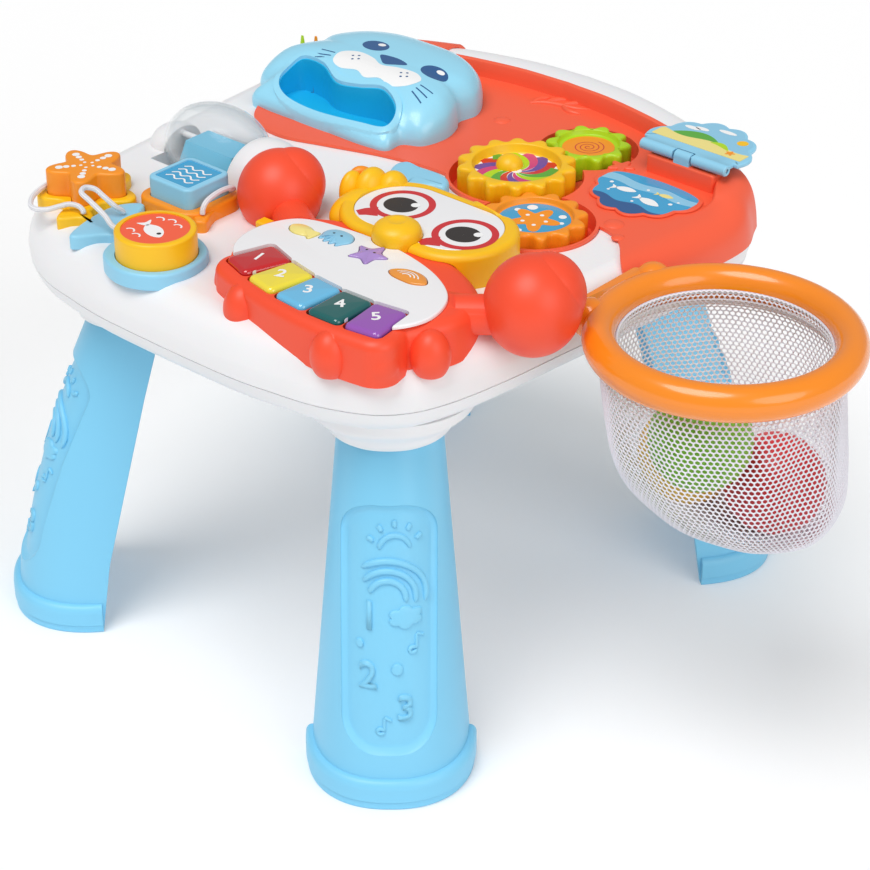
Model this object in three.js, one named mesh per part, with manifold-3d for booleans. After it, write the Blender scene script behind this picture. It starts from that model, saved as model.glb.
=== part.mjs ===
// Baby activity table on four legs, with shape blocks, a crab piano, gears, a flip page,
// a rattle drum, a seal head tray and a ball basket. Millimetres, +Z up.
// +X is the child's right, where the basket hangs, and +Y points to the raised arch at the back.

import * as THREE from 'three';
import { mergeVertices } from 'three/addons/utils/BufferGeometryUtils.js';
import Module from 'manifold-3d';

const wasm = await Module();
wasm.setup();

// Table housing
const tableHalfWidth = 235;
const tableFront = 244;
const tableBack = 254;
const legCollar = 259;
const bossDepth = 27;
const bottomDepth = 23;
const bulgeRise = 13;
const rimRise = 28;
const undersideHeight = legCollar + bossDepth;
const seamHeight = undersideHeight + bottomDepth;
const bulgeHeight = seamHeight + bulgeRise;
const deckHeight = bulgeHeight + rimRise;
const rimWidth = 26;
const archRise = 13;
const archStep = 3;
const shellWall = 2.6;
const tableSides = 32;

// Clearances shared by the pieces
const seatGap = 0.3;
const seatDrop = 13;
const slideGap = 0.6;
const wellGap = 5;
const overrun = 1;

// Legs
const legReach = 315;
const legTurnDegrees = 49;
const legFootHalfWidth = 63.5;
const legFlangeHeight = 24;
const legFlangeStep = 6.6;
const legFootWidthInner = 60;
const legTopHalfWidth = 35;
const legWall = 5;
const legSocketDepth = 30;
const legPanelRecess = 2.4;
const legPanelHalfWidth = 33;
const legPanelLow = 46;
const legPanelHigh = 232;
const legPanelCorner = 22;
const bossWall = 3;
const bossFlare = 1.15;
const legRoundness = 2.3;

// Coral panel
const panelThickness = 2.4;
const bubbleRadius = 7;

// Gears
const gearModule = 6.2;
const gearTeeth = { yellow: 14, green: 10, orange: 12 };
const gearToothHeight = 3.2;
const gearHeight = { yellow: 25, green: 20, orange: 20 };
const gearDish = 2.2;
const gearWellDepth = 12;
const gearAxleRadius = 4;
const axlePlate = 2;
const gearKnobRadius = 10;
const gearKnobHeight = 7;
const gearRound = 2;
const axleArmCorner = 2;

// Seal
const sealHalfWidth = 93;
const sealDepth = 146;
const sealHeight = 40;
const sealWall = 2.6;
const mouthFloor = 3;
const weedRadius = 3.6;

// Crab piano
const crabHalfWidth = 106;
const crabDepth = 134;
const crabHeight = 21;
const crabTurnDegrees = -5;
const plateThickness = 3;
const keyWidth = 28.6;
const keyLength = 38;
const keyHeight = 15;
const keyPitch = 30.4;
const keyTravel = 3;
const keyFanRadius = 260;
const keyRound = 4;
const keyCorner = 5;
const plateRound = 1.4;
const padSheet = 1;
const buttonHeight = 7;
const buttonTravel = 1.5;
const buttonRadius = 11.5;
const buttonStand = 1.2;
const buttonRound = 1.6;
const clawRadius = { left: 31.5, right: 34 };
const footRadius = 14;
const padRadius = 5;
const padHeight = 4.6;
const pegHalfWidth = 6;
const pegHalfDepth = 5;
const pegHeight = 13;
const pegCorner = 1.5;
const pegRound = 1.2;

// Diver face
const faceHalfWidth = 73;
const faceHalfDepth = 44;
const faceHeight = 26;
const maskThickness = 2;
const maskRound = 0.8;
const faceRound = 5;
const faceHollowRound = 4;
const noseRadius = 18;
const noseHeight = 20;
const noseTravel = 2;
const noseSink = 1;
const snorkelRadius = 4.2;
const waveBevel = 2;
const waveSink = 1;
const waveStrip = 3;
const waveKnob = [10, 9, 9];

// Shape trays and blocks
const trayHeight = { star: 8, square: 12, round: 8 };
const trayDrop = 4;
const trayFloor = 2;
const trayWall = 8;
const trayCorner = 14;
const trayRound = 2;
const blockHeight = 25;
const starRadius = 31;
const squareHalf = 22.5;
const roundRadius = 29.5;
const blockCorner = 7;
const blockRound = 2;
const labelDepth = 1;
const labelRim = 4.5;
const blockLift = 60;
const cordDiameter = 3;

// Flip page and picture
const pageWidth = 86;
const pageDepth = 64;
const pageThickness = 3.6;
const hingeRadius = 4.4;
const hingeFootCorner = 1;
const pageCorner = 2;
const hingePinRadius = 1.5;
const hingeHeight = 22;
const platformHeight = 8;
const pictureThickness = 1.6;

// Battery door, its screw and what the housing holds
const doorThickness = 2.5;
const doorCorner = 6;
const screwHeadRadius = 4;
const screwHeadHeight = 2;
const boardThickness = 1.6;
const boardCorner = 3;
const speakerRadius = 22;
const magnetRadius = 10;
const speakerHeights = { rim: 4, cone: 10, magnet: 15 };

// Rattle drum
const drumRadius = 34;
const drumLength = 78;
const drumWall = 2;
const drumClearance = 2;
const drumAxleRadius = 2.5;
const drumHeight = 10;
const beadRadius = 3;
const humpLength = 30;

// Basket
const hoopRadius = 86;
const hoopTubeWide = 11.7;
const hoopTubeTall = 13;
const hoopGap = 10;
const hoopPadCorner = 8;
const hoopPadRound = 3;
const netWall = 1.6;
const netDepth = 128;
const ballRadius = 33;

// Shares of the table's half width and of its front or back depth
const gearYellowShares = [0.272, 0.27];
const gearGreenAngle = 81;
const gearOrangeAngle = -41;
const weedShares = { green: [-0.885, 0.46, 0.72], orange: [-0.85, 0.49, 0.7], pink: [-0.83, 0.565, 0.42] };
const sealShares = [-0.481, 0.122];
const crabShares = [0.456, -0.656];
const faceShares = [0.413, -0.27];
const starShares = [-0.655, -0.695];
const squareShares = [-0.366, -0.535];
const roundShares = [-0.164, -0.855];
const pageShares = [0.7, 0.57];
const pictureShares = [0.673, 0.527];
const drumShares = [-0.562, -0.23];
const hoopShareY = -0.1;

const degrees = Math.PI / 180;
const red = '#E3221F';
const coral = '#FF6448';
const white = '#F4F3F2';
const yellow = '#FFD21A';
const orange = '#FF9A1A';
const skyBlue = '#6FC6EF';
const paleBlue = '#9FD9F4';

const model = new THREE.Group();

// Smooth step from 0 to 1 between two values
function ease(value, low, high) {
  const t = Math.min(Math.max((value - low) / (high - low), 0), 1);
  return t * t * (3 - 2 * t);
}

function tableAt(shares) {
  const depth = shares[1] < 0 ? tableFront : tableBack;
  return new THREE.Vector2(shares[0] * tableHalfWidth, shares[1] * depth);
}

// Solids from geometries, joined and cut

function solid(geometry) {
  const bare = geometry.index ? geometry : geometry.clone();
  bare.deleteAttribute('normal');
  bare.deleteAttribute('uv');
  const merged = mergeVertices(bare, 1e-4);
  const mesh = new wasm.Mesh({
    numProp: 3,
    vertProperties: new Float32Array(merged.attributes.position.array),
    triVerts: new Uint32Array(merged.index.array),
  });
  return new wasm.Manifold(mesh);
}

function geometryOf(body) {
  const mesh = body.getMesh();
  const geometry = new THREE.BufferGeometry();
  geometry.setAttribute('position', new THREE.BufferAttribute(mesh.vertProperties, 3));
  geometry.setIndex(new THREE.BufferAttribute(mesh.triVerts, 1));
  geometry.computeVertexNormals();
  return geometry;
}

function largest(body) {
  return body.decompose().reduce((most, next) => (next.volume() > most.volume() ? next : most));
}

function joined(bodies) {
  return bodies.reduce((all, next) => all.add(next));
}

function addNode(name, body, color, roughness = 0.45, extra = {}) {
  const material = new THREE.MeshStandardMaterial({ color, roughness, metalness: 0, ...extra });
  const mesh = new THREE.Mesh(geometryOf(body), material);
  mesh.name = name;
  model.add(mesh);
  return mesh;
}

// Rings of equal point counts become a closed skin, closed by a fan at both ends
function loft(rings) {
  const count = rings[0].length;
  const positions = [];
  const index = [];
  rings.forEach((ring) => ring.forEach((p) => positions.push(p.x, p.y, p.z)));
  for (let r = 0; r + 1 < rings.length; r += 1) {
    for (let i = 0; i < count; i += 1) {
      const a = r * count + i;
      const b = r * count + ((i + 1) % count);
      index.push(a, b, b + count, a, b + count, a + count);
    }
  }
  const addFan = (ring, offset, forward) => {
    const centre = new THREE.Vector3();
    ring.forEach((p) => centre.add(p));
    centre.divideScalar(count);
    const tip = positions.length / 3;
    positions.push(centre.x, centre.y, centre.z);
    for (let i = 0; i < count; i += 1) {
      const a = offset + i;
      const b = offset + ((i + 1) % count);
      index.push(tip, forward ? a : b, forward ? b : a);
    }
  };
  addFan(rings[0], 0, false);
  addFan(rings[rings.length - 1], (rings.length - 1) * count, true);
  const geometry = new THREE.BufferGeometry();
  geometry.setAttribute('position', new THREE.Float32BufferAttribute(positions, 3));
  geometry.setIndex(index);
  return solid(geometry);
}

// Closed plan outlines are lists of Vector2, counterclockwise

function closedSpline(points, count) {
  const curve = new THREE.CatmullRomCurve3(
    points.map((p) => new THREE.Vector3(p[0], p[1], 0)), true, 'centripetal');
  const list = curve.getSpacedPoints(count).slice(0, count).map((p) => new THREE.Vector2(p.x, p.y));
  return THREE.ShapeUtils.isClockWise(list) ? list.reverse() : list;
}

// Mirrors the right half of an outline, which runs from its front point to its back point
function mirroredOutline(half, scaleX, scaleY, count) {
  const right = half.map((p) => [p[0] * scaleX, p[1] * scaleY]);
  const left = right.slice(1, -1).reverse().map((p) => [-p[0], p[1]]);
  return closedSpline(right.concat(left), count);
}

function inset(outline, amount) {
  const count = outline.length;
  return outline.map((p, i) => {
    const before = outline[(i + count - 1) % count];
    const after = outline[(i + 1) % count];
    const along = after.clone().sub(before).normalize();
    const size = typeof amount === 'function' ? amount(p) : amount;
    return new THREE.Vector2(p.x - along.y * size, p.y + along.x * size);
  });
}

function middleOf(list) {
  return list.reduce((sum, p) => sum.add(p), new THREE.Vector2()).divideScalar(list.length);
}

function scaled(outline, share, centre = new THREE.Vector2()) {
  return outline.map((p) => p.clone().sub(centre).multiplyScalar(share).add(centre));
}

function ringAt(outline, height) {
  return outline.map((p) => new THREE.Vector3(
    p.x, p.y, typeof height === 'function' ? height(p) : height));
}

// A block across the whole table, for cuts by height
function slab(low, high) {
  return prism(circle(legReach * 3, 6), low, high);
}

// A body that stands on its outline and rounds over to the top
function pillow(outline, low, high, round, steps = 2) {
  const rings = [ringAt(outline, low)];
  for (let k = 0; k <= steps; k += 1) {
    const angle = (k / steps) * 90 * degrees;
    rings.push(ringAt(inset(outline, round * (1 - Math.cos(angle))), high - round * (1 - Math.sin(angle))));
  }
  return loft(rings);
}

function prism(outline, low, high) {
  return loft([ringAt(outline, low), ringAt(outline, high)]);
}

function circle(radius, count, centre = new THREE.Vector2()) {
  return Array.from({ length: count }, (unused, i) => {
    const angle = (i / count) * 360 * degrees;
    return new THREE.Vector2(centre.x + radius * Math.cos(angle), centre.y + radius * Math.sin(angle));
  });
}

function roundedBox(halfWidth, halfDepth, corner, perCorner = 5) {
  const points = [];
  const reach = [[1, -1, -90], [1, 1, 0], [-1, 1, 90], [-1, -1, 180]];
  reach.forEach(([sx, sy, start]) => {
    for (let i = 0; i <= perCorner; i += 1) {
      const angle = (start + (i / perCorner) * 90) * degrees;
      points.push(new THREE.Vector2(
        sx * (halfWidth - corner) + corner * Math.cos(angle),
        sy * (halfDepth - corner) + corner * Math.sin(angle)));
    }
  });
  return points;
}

function turned(outline, angle) {
  return outline.map((p) => p.clone().rotateAround(new THREE.Vector2(), angle));
}

function moved(outline, place) {
  return outline.map((p) => p.clone().add(place));
}

function ellipsoid(centre, radii, wide = 14, tall = 8) {
  const geometry = new THREE.SphereGeometry(1, wide, tall);
  geometry.scale(radii[0], radii[2], radii[1]);
  geometry.rotateX(90 * degrees);
  geometry.translate(centre[0], centre[1], centre[2]);
  return solid(geometry);
}

function rod(radius, from, to, sides = 16) {
  const start = new THREE.Vector3(...from);
  const end = new THREE.Vector3(...to);
  const geometry = new THREE.CylinderGeometry(radius, radius, start.distanceTo(end), sides);
  const turn = new THREE.Quaternion().setFromUnitVectors(
    new THREE.Vector3(0, 1, 0), end.clone().sub(start).normalize());
  geometry.applyQuaternion(turn);
  const middle = start.clone().add(end).multiplyScalar(0.5);
  geometry.translate(middle.x, middle.y, middle.z);
  return solid(geometry);
}

function tube(points, radius, sides, steps) {
  const path = new THREE.CatmullRomCurve3(points.map((p) => new THREE.Vector3(...p)));
  const section = new THREE.Shape(circle(radius, sides));
  return solid(new THREE.ExtrudeGeometry(section, { steps, extrudePath: path, curveSegments: 1 }));
}

// Right half of the table outline, from shares of its half width and depths, front to back
const tableShares = [
  [0, -1], [0.275, -0.995], [0.445, -0.975], [0.583, -0.95], [0.71, -0.9], [0.779, -0.85],
  [0.837, -0.77], [0.879, -0.64], [0.909, -0.46], [0.929, -0.26], [0.954, -0.02], [0.975, 0.22],
  [0.992, 0.42], [0.985, 0.53], [0.945, 0.61], [0.901, 0.69], [0.826, 0.755], [0.721, 0.82],
  [0.583, 0.882], [0.424, 0.938], [0.212, 0.985], [0, 1]];

function tableOutline() {
  const half = tableShares.map(([sx, sy]) => tableAt([sx, sy]));
  const right = new THREE.SplineCurve(half).getSpacedPoints(tableSides / 2);
  const left = right.slice(1, -1).reverse().map((p) => new THREE.Vector2(-p.x, p.y));
  return right.concat(left);
}

const outline = tableOutline();
const rise = (p) => ease(p.y / tableBack, 0.42, 0.72);
const bandShare = (p) => rise(p) * (1 - (p.x / tableHalfWidth) ** 2);

// Rings of the outer skin from the seam up over the rim to the deck; grow moves it outwards
function tableRings(grow, fromSeam = true) {
  const shoulder = deckHeight - bulgeHeight;
  const flank = [[0, 0, 0], [0.08, 0.4, 0.35], [0.26, 0.72, 0.8], [0.56, 0.93, 1]];
  const rings = [];
  if (fromSeam) {
    rings.push(ringAt(inset(outline, 0.05 * rimWidth - grow), seamHeight));
  }
  flank.forEach(([share, heightShare, riseShare]) => {
    rings.push(ringAt(
      inset(outline, share * rimWidth - grow),
      (p) => bulgeHeight + shoulder * heightShare + archRise * riseShare * rise(p) + grow * heightShare));
  });
  const bandInset = (p) => rimWidth * (1 + 0.8 * bandShare(p));
  rings.push(ringAt(
    inset(outline, (p) => bandInset(p) - archStep + grow),
    (p) => deckHeight + archRise * rise(p) + grow));
  rings.push(ringAt(inset(outline, (p) => bandInset(p) + grow), () => deckHeight + grow));
  return rings;
}

function tableBlock(grow) {
  const rings = tableRings(grow);
  const foot = rings[0].map((p) => new THREE.Vector3(p.x, p.y, undersideHeight));
  return loft([foot, ...rings]);
}

// Places
const seal = tableAt(sealShares);
const crab = tableAt(crabShares);
const face = tableAt(faceShares);
const starPlace = tableAt(starShares);
const squarePlace = tableAt(squareShares);
const roundPlace = tableAt(roundShares);
const page = tableAt(pageShares);
const picture = tableAt(pictureShares);
const drum = tableAt(drumShares);
const gearPlace = { yellow: tableAt(gearYellowShares) };
const pitchRadius = (name) => (gearModule * gearTeeth[name]) / 2;
const meshAt = (name, angle) => new THREE.Vector2(1, 0)
  .rotateAround(new THREE.Vector2(), angle * degrees)
  .multiplyScalar(pitchRadius('yellow') + pitchRadius(name))
  .add(gearPlace.yellow);
gearPlace.green = meshAt('green', gearGreenAngle);
gearPlace.orange = meshAt('orange', gearOrangeAngle);
const gearNames = ['yellow', 'green', 'orange'];

const deckBlock = tableBlock(seatGap);
const panelTop = deckHeight + seatGap + panelThickness;

function gearWell(grow, low, high) {
  return joined(gearNames.map((name) => {
    const radius = pitchRadius(name) + gearToothHeight + wellGap + grow;
    return prism(circle(radius, 18, gearPlace[name]), low, high);
  }));
}

// Humps beside the drum, part of the upper housing
const drumAxisHeight = deckHeight + drumHeight;
const drumEnd = drumLength / 2;

function drumHumps() {
  const humpShares = { left: [-1, 0.95, 0.55], right: [1, 1.02, 0.86] };
  return joined(Object.values(humpShares).map(([side, across, tall]) => ellipsoid(
    [drum.x + side * (drumEnd + humpLength * 0.35), drum.y, deckHeight],
    [humpLength, drumRadius * across, drumRadius * tall], 16, 10)));
}

// A rod along the drum's axis that reaches equally far to both sides
function drumRod(radius, reach, sides = 16) {
  return rod(
    radius, [drum.x - reach, drum.y, drumAxisHeight], [drum.x + reach, drum.y, drumAxisHeight], sides);
}

function drumSpace() {
  return drumRod(drumRadius + drumClearance, drumEnd + seatGap * 4, 24);
}

function topShell() {
  const outer = tableRings(0);
  const inner = tableRings(-shellWall).filter((ring, i) => i !== 2 && i !== 4);
  inner[0] = inner[0].map((p) => new THREE.Vector3(p.x, p.y, seamHeight));
  let shell = loft([...inner.slice().reverse(), ...outer]);
  const humps = drumHumps().subtract(slab(0, deckHeight - shellWall / 2));
  shell = shell.add(humps).subtract(drumSpace());
  shell = shell.subtract(gearWell(panelThickness + seatGap, seamHeight, deckHeight + archRise));
  return shell.subtract(drumRod(drumAxleRadius + seatGap, drumEnd + humpLength * 0.6));
}

// Leg profile at a height, in the leg's own frame: x across, y outwards from the table centre.
// The reach shares give how far the outer face and the inner edge stand out at a height share.
const legOuterShares = [
  [0, 0.99], [0.14, 0.975], [0.3, 0.947], [0.5, 0.896], [0.7, 0.828], [0.78, 0.795], [1, 0.71]];
const legInnerShares = [[0, 0.775], [0.2, 0.748], [0.7, 0.632], [1, 0.555]];

function shareAt(table, height) {
  const k = table.findIndex((row) => row[0] >= height);
  if (k <= 0) {
    return table[k < 0 ? table.length - 1 : 0][1];
  }
  const [h0, v0] = table[k - 1];
  const [h1, v1] = table[k];
  return v0 + ((v1 - v0) * (height - h0)) / (h1 - h0);
}

function legOutline(height, grow, flange) {
  const share = Math.max(height, 0) / undersideHeight;
  const taper = legTopHalfWidth - legFootWidthInner;
  const half = flange ? legFootHalfWidth : legFootWidthInner + taper * share;
  const reach = flange ? legReach : legReach * shareAt(legOuterShares, share);
  const inner = legReach * shareAt(legInnerShares, flange ? 0 : share);
  const points = [];
  const count = 6;
  for (let i = 0; i <= count; i += 1) {
    const angle = (i / count) * 180 * degrees;
    const c = Math.cos(angle);
    const s = Math.sin(angle);
    const power = 2 / legRoundness;
    points.push(new THREE.Vector2(
      (half + grow) * Math.sign(c) * Math.abs(c) ** power,
      inner + (reach - inner + grow) * Math.abs(s) ** power));
  }
  return points;
}

function legLoft(levels, innerEdge) {
  return loft(levels.map(([height, grow, flange]) => {
    const ring = legOutline(height, grow, flange);
    const last = ring[ring.length - 1];
    const first = ring[0];
    const edge = innerEdge + Math.max(grow, 0);
    const back = [new THREE.Vector2(last.x, last.y - edge), new THREE.Vector2(first.x, first.y - edge)];
    return ringAt(edge > 0 ? ring.concat(back) : ring, height);
  }));
}

const legLevelShares = [0, 0.14, 0.4, 0.7, 1];
const legTop = legCollar + legSocketDepth;
const legLevels = (low, high, grow) => [low, ...legLevelShares.map((share) => share * undersideHeight)
  .filter((height) => height > low && height < high), high].map((height) => [height, grow, false]);

function legSolid() {
  const flange = legLoft([[0, -1, true], [legFlangeStep, -1, true]], 0)
    .add(legLoft([[legFlangeStep, 0, true], [legFlangeHeight, -2, true]], 0));
  const body = legLoft(legLevels(0, legTop, 0), 0);
  const cavity = legLoft(legLevels(-overrun, legTop - legWall, -legWall), legReach / 3);
  const skin = legLoft(legLevels(0, legTop, -legPanelRecess), 0);
  const recessOutline = roundedBox(
    legPanelHalfWidth, (legPanelHigh - legPanelLow) / 2, legPanelCorner, 2);
  const recess = prism(recessOutline, 0, legReach * 2)
    .rotate([90, 0, 180])
    .translate([0, 0, (legPanelLow + legPanelHigh) / 2]);
  return flange.add(body).subtract(recess.subtract(skin)).subtract(cavity);
}

function legTurn(sideX, sideY) {
  const angle = sideY > 0 ? 90 - legTurnDegrees : 90 + legTurnDegrees;
  return -sideX * angle;
}

const legPlaces = [
  ['front_left', -1, -1], ['front_right', 1, -1], ['rear_left', -1, 1], ['rear_right', 1, 1]];

function bottomShell() {
  const rim = inset(outline, 0.05 * rimWidth);
  const drop = seamHeight - undersideHeight;
  const levels = [[2.1, 0], [1.2, 0.03], [0.66, 0.14], [0.24, 0.45], [0.05, 0.98]];
  const outer = levels.map(([share, height]) => ringAt(
    inset(outline, share * rimWidth), undersideHeight + drop * height));
  outer[levels.length - 1] = ringAt(rim, seamHeight - seatGap);
  const inner = [levels[0], levels[2], levels[4]].map(([share, height]) => ringAt(
    inset(outline, share * rimWidth + shellWall), undersideHeight + drop * height + shellWall));
  inner[2] = ringAt(inset(rim, shellWall), seamHeight - seatGap);
  let shell = loft([...outer, ...inner.slice().reverse()]);
  const bossShares = [[0, 0], [0.06, 0.2], [0.5, 0.55], [1.1, 1]];
  const inside = prism(inset(outline, rimWidth * 0.12), legCollar - overrun, seamHeight - seatGap);
  legPlaces.forEach(([, sideX, sideY]) => {
    const place = (body) => body.rotate([0, 0, legTurn(sideX, sideY)]);
    const boss = legLoft(bossShares.map(([height, grow]) => [
      legCollar + height * bossDepth, bossWall + grow * bossDepth * bossFlare, false]), 0);
    const cover = legLoft(legLevels(undersideHeight, legTop + shellWall, shellWall), 0);
    const room = legLoft(bossShares.map(([height, grow]) => [
      legCollar + shellWall + height * bossDepth,
      bossWall + grow * bossDepth * bossFlare - shellWall, false]), 0)
      .subtract(slab(0, undersideHeight + shellWall));
    const socket = legLoft(legLevels(legCollar - overrun, legTop, slideGap), 0)
      .translate([0, 0, seatGap]);
    shell = shell.add(place(boss).intersect(inside)).subtract(place(room));
    shell = shell.add(place(cover)).subtract(place(socket));
  });
  return largest(shell.subtract(slab(seamHeight - seatGap, seamHeight * 2)));
}

const hingeAxisHeight = deckHeight + hingeHeight;

// Front edge of the coral panel, from left to right
const panelEdgeShares = [
  [-1.16, 0.3], [-0.87, 0.26], [-0.7, 0.06], [-0.54, 0.01], [-0.36, 0.055], [-0.15, 0.115],
  [0.064, 0.14], [0.286, 0.11], [0.466, 0.1], [0.657, 0.16], [0.8, 0.13], [0.94, 0], [1.16, -0.03]];

// Where the panel laps over the rim: middle, then half sizes
const panelLapShares = [[0.88, 0.1, 0.318, 0.56], [-0.66, 0.92, 0.145, 0.2]];

// Plan area of the coral panel, which laps over the right side and over a part of the arch
function panelRegion(grow) {
  const w = tableHalfWidth;
  const b = tableBack;
  const edge = new THREE.SplineCurve(panelEdgeShares.map(([x, y]) => new THREE.Vector2(x * w, y * b)));
  const front = edge.getPoints(24).map((p) => new THREE.Vector2(p.x, p.y - grow));
  const region = prism(
    front.concat([new THREE.Vector2(1.1 * w, 1.1 * b), new THREE.Vector2(-1.1 * w, 1.1 * b)]),
    bulgeHeight + overrun - grow, deckHeight * 2);
  const insideEdge = (p) => rimWidth * (0.86 + 0.8 * bandShare(p)) - grow;
  const inside = prism(inset(outline, insideEdge), 0, deckHeight * 2);
  const laps = panelLapShares.map(([x, y, halfX, halfY]) => prism(
    moved(roundedBox(halfX * w + grow, halfY * b + grow, 0.08 * w, 3), new THREE.Vector2(x * w, y * b)),
    0, deckHeight * 2));
  const tub = gearWell(panelThickness + grow, 0, deckHeight * 2);
  return joined([inside, ...laps]).intersect(region).add(tub);
}

// What the pieces on the deck are cut by, so that each one seats on housing and panel alike
function seated(body) {
  return body.subtract(deckBlock).subtract(panelRoom);
}

// Low bubbles moulded on the panel: place, then radius share
const bubbleShares = [[-0.042, 0.55, 1], [0.73, 0.2, 1.14], [0.795, 0.14, 0.71]];

// Coral panel: a skin over the deck, with the tub that the gears stand in
function upperPanel() {
  const w = tableHalfWidth;
  const b = tableBack;
  let panel = tableBlock(seatGap + panelThickness).subtract(tableBlock(seatGap)).intersect(panelRegion(0));
  const wellFloor = deckHeight - gearWellDepth;
  const tub = gearWell(panelThickness, wellFloor - panelThickness, panelTop);
  panel = panel.add(tub.intersect(tableBlock(seatGap + panelThickness)));
  panel = panel.subtract(gearWell(0, wellFloor, panelTop + overrun));
  const platformPlace = page.clone().add(new THREE.Vector2(0.42 * pageWidth, 0.5 * pageDepth));
  const platform = pillow(
    moved(roundedBox(pageWidth * 0.34, pageDepth * 0.4, pageWidth * 0.1, 3), platformPlace),
    bulgeHeight, deckHeight + platformHeight, panelThickness, 1);
  const insideRim = prism(inset(outline, rimWidth * 0.8), 0, deckHeight * 2);
  panel = panel.add(platform.intersect(insideRim).subtract(deckBlock));
  bubbleShares.forEach(([sx, sy, share]) => {
    const size = share * bubbleRadius;
    const dome = ellipsoid([sx * w, sy * b, panelTop - size * 0.1], [size, size, size * 0.35], 10, 6);
    panel = panel.add(dome.intersect(slab(panelTop - panelThickness / 2, panelTop + size)));
  });
  gearNames.forEach((name) => {
    const hole = circle(gearAxleRadius + seatGap, 16, gearPlace[name]);
    panel = panel.subtract(prism(hole, wellFloor - panelThickness * 2, wellFloor + overrun));
  });
  return largest(panel);
}

const panelRoom = tableBlock(seatGap * 2 + panelThickness).intersect(panelRegion(seatGap));

// Three knuckles on one pin: the outer two are the page's, the middle one stands on the panel
function hingeKnuckle(fromShare, toShare, radius) {
  return rod(
    radius, [page.x + fromShare * pageWidth, page.y, hingeAxisHeight],
    [page.x + toShare * pageWidth, page.y, hingeAxisHeight], 12);
}

function pinHole() {
  return hingeKnuckle(-1, 1, hingePinRadius + seatGap);
}

function hingeFoot() {
  const shape = moved(roundedBox(pageWidth * 0.085, hingeRadius, hingeFootCorner, 2), page);
  const foot = prism(shape, panelTop - panelThickness / 2, hingeAxisHeight);
  return foot.add(hingeKnuckle(-0.085, 0.085, hingeRadius)).subtract(pinHole());
}

function scallop(width, depth, lobes, perLobe, swell) {
  const points = [];
  const count = lobes * perLobe;
  for (let i = 0; i <= count; i += 1) {
    const angle = (i / count) * 180 * degrees;
    const bump = 1 + swell * Math.abs(Math.sin((i / perLobe) * 180 * degrees));
    points.push(new THREE.Vector2(
      (width / 2) * Math.cos(angle) * bump, depth * (0.12 + 0.8 * Math.sin(angle) * bump)));
  }
  return points;
}

const pageScallop = () => scallop(pageWidth, pageDepth, 6, 4, 0.09);

function flipPage() {
  const basePlace = page.clone().add(new THREE.Vector2(0, pageDepth * 0.15));
  const base = moved(roundedBox(pageWidth * 0.46, pageDepth * 0.2, pageCorner, 2), basePlace);
  const leaf = prism(moved(pageScallop(), page), hingeAxisHeight, hingeAxisHeight + pageThickness)
    .add(prism(base, hingeAxisHeight, hingeAxisHeight + pageThickness));
  const lugs = hingeKnuckle(-0.46, -0.1, hingeRadius).add(hingeKnuckle(0.1, 0.46, hingeRadius));
  const room = rod(
    hingeRadius + slideGap, [page.x - pageWidth * 0.1, page.y, hingeAxisHeight],
    [page.x + pageWidth * 0.1, page.y, hingeAxisHeight]);
  return leaf.add(lugs).subtract(room).subtract(pinHole());
}

function pictureWindow() {
  const shape = pageScallop().map((p) => new THREE.Vector2(-p.x, -p.y - hingeRadius * 1.5));
  const low = panelTop + seatGap;
  const rim = pillow(moved(shape, picture), low, low + pictureThickness, pictureThickness / 2, 2);
  return rim.subtract(gearWell(seatGap, 0, deckHeight * 2));
}

// Gear with rounded teeth; phase turns a gear so that its teeth meet its neighbour's gaps
function gear(name, phase) {
  const teeth = gearTeeth[name];
  const perTooth = 5;
  const points = Array.from({ length: teeth * perTooth }, (unused, i) => {
    const angle = (i / (teeth * perTooth)) * 360 * degrees;
    const wave = Math.cos(teeth * angle);
    const swing = Math.sign(wave) * Math.abs(wave) ** 0.8;
    const radius = pitchRadius(name) - slideGap + gearToothHeight * swing;
    return new THREE.Vector2(radius * Math.cos(angle + phase), radius * Math.sin(angle + phase));
  });
  const low = deckHeight - gearWellDepth + seatGap * 2;
  const high = low + gearHeight[name];
  const at = (list) => moved(list, gearPlace[name]);
  const body = loft([
    ringAt(at(points), low), ringAt(at(points), high - gearRound),
    ringAt(at(scaled(points, 0.96)), high)]);
  const dishRadius = pitchRadius(name) * 0.78;
  const dish = prism(circle(dishRadius, 20, gearPlace[name]), high - gearDish, high + overrun);
  const boreOutline = circle(gearAxleRadius + seatGap, 16, gearPlace[name]);
  const bore = prism(boreOutline, low - overrun, high - gearDish * 2.5);
  let result = body.subtract(dish).subtract(bore);
  if (name === 'yellow') {
    const knob = ellipsoid(
      [gearPlace[name].x, gearPlace[name].y, high - gearDish],
      [gearKnobRadius, gearKnobRadius, gearKnobHeight], 14, 8)
      .subtract(prism(circle(gearKnobRadius * 2, 8, gearPlace[name]), low, high - gearDish - seatGap));
    result = result.add(knob);
  }
  return result;
}

// One plate under the tub carries the three axles
function gearAxles() {
  const low = deckHeight - gearWellDepth - panelThickness - seatGap;
  const arms = gearNames.map((name) => {
    const middle = gearPlace[name].clone().add(gearPlace.yellow).multiplyScalar(0.5);
    const along = gearPlace[name].clone().sub(gearPlace.yellow);
    const half = along.length() / 2 + gearAxleRadius * 2;
    const arm = roundedBox(half, gearAxleRadius * 2, axleArmCorner, 2);
    return prism(moved(turned(arm, along.angle()), middle), low - axlePlate, low);
  });
  const posts = gearNames.map((name) => prism(
    circle(gearAxleRadius, 14, gearPlace[name]), low - axlePlate / 2,
    deckHeight - gearWellDepth + gearHeight[name] - gearDish * 3.5));
  return joined([...arms, ...posts]);
}

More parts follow.
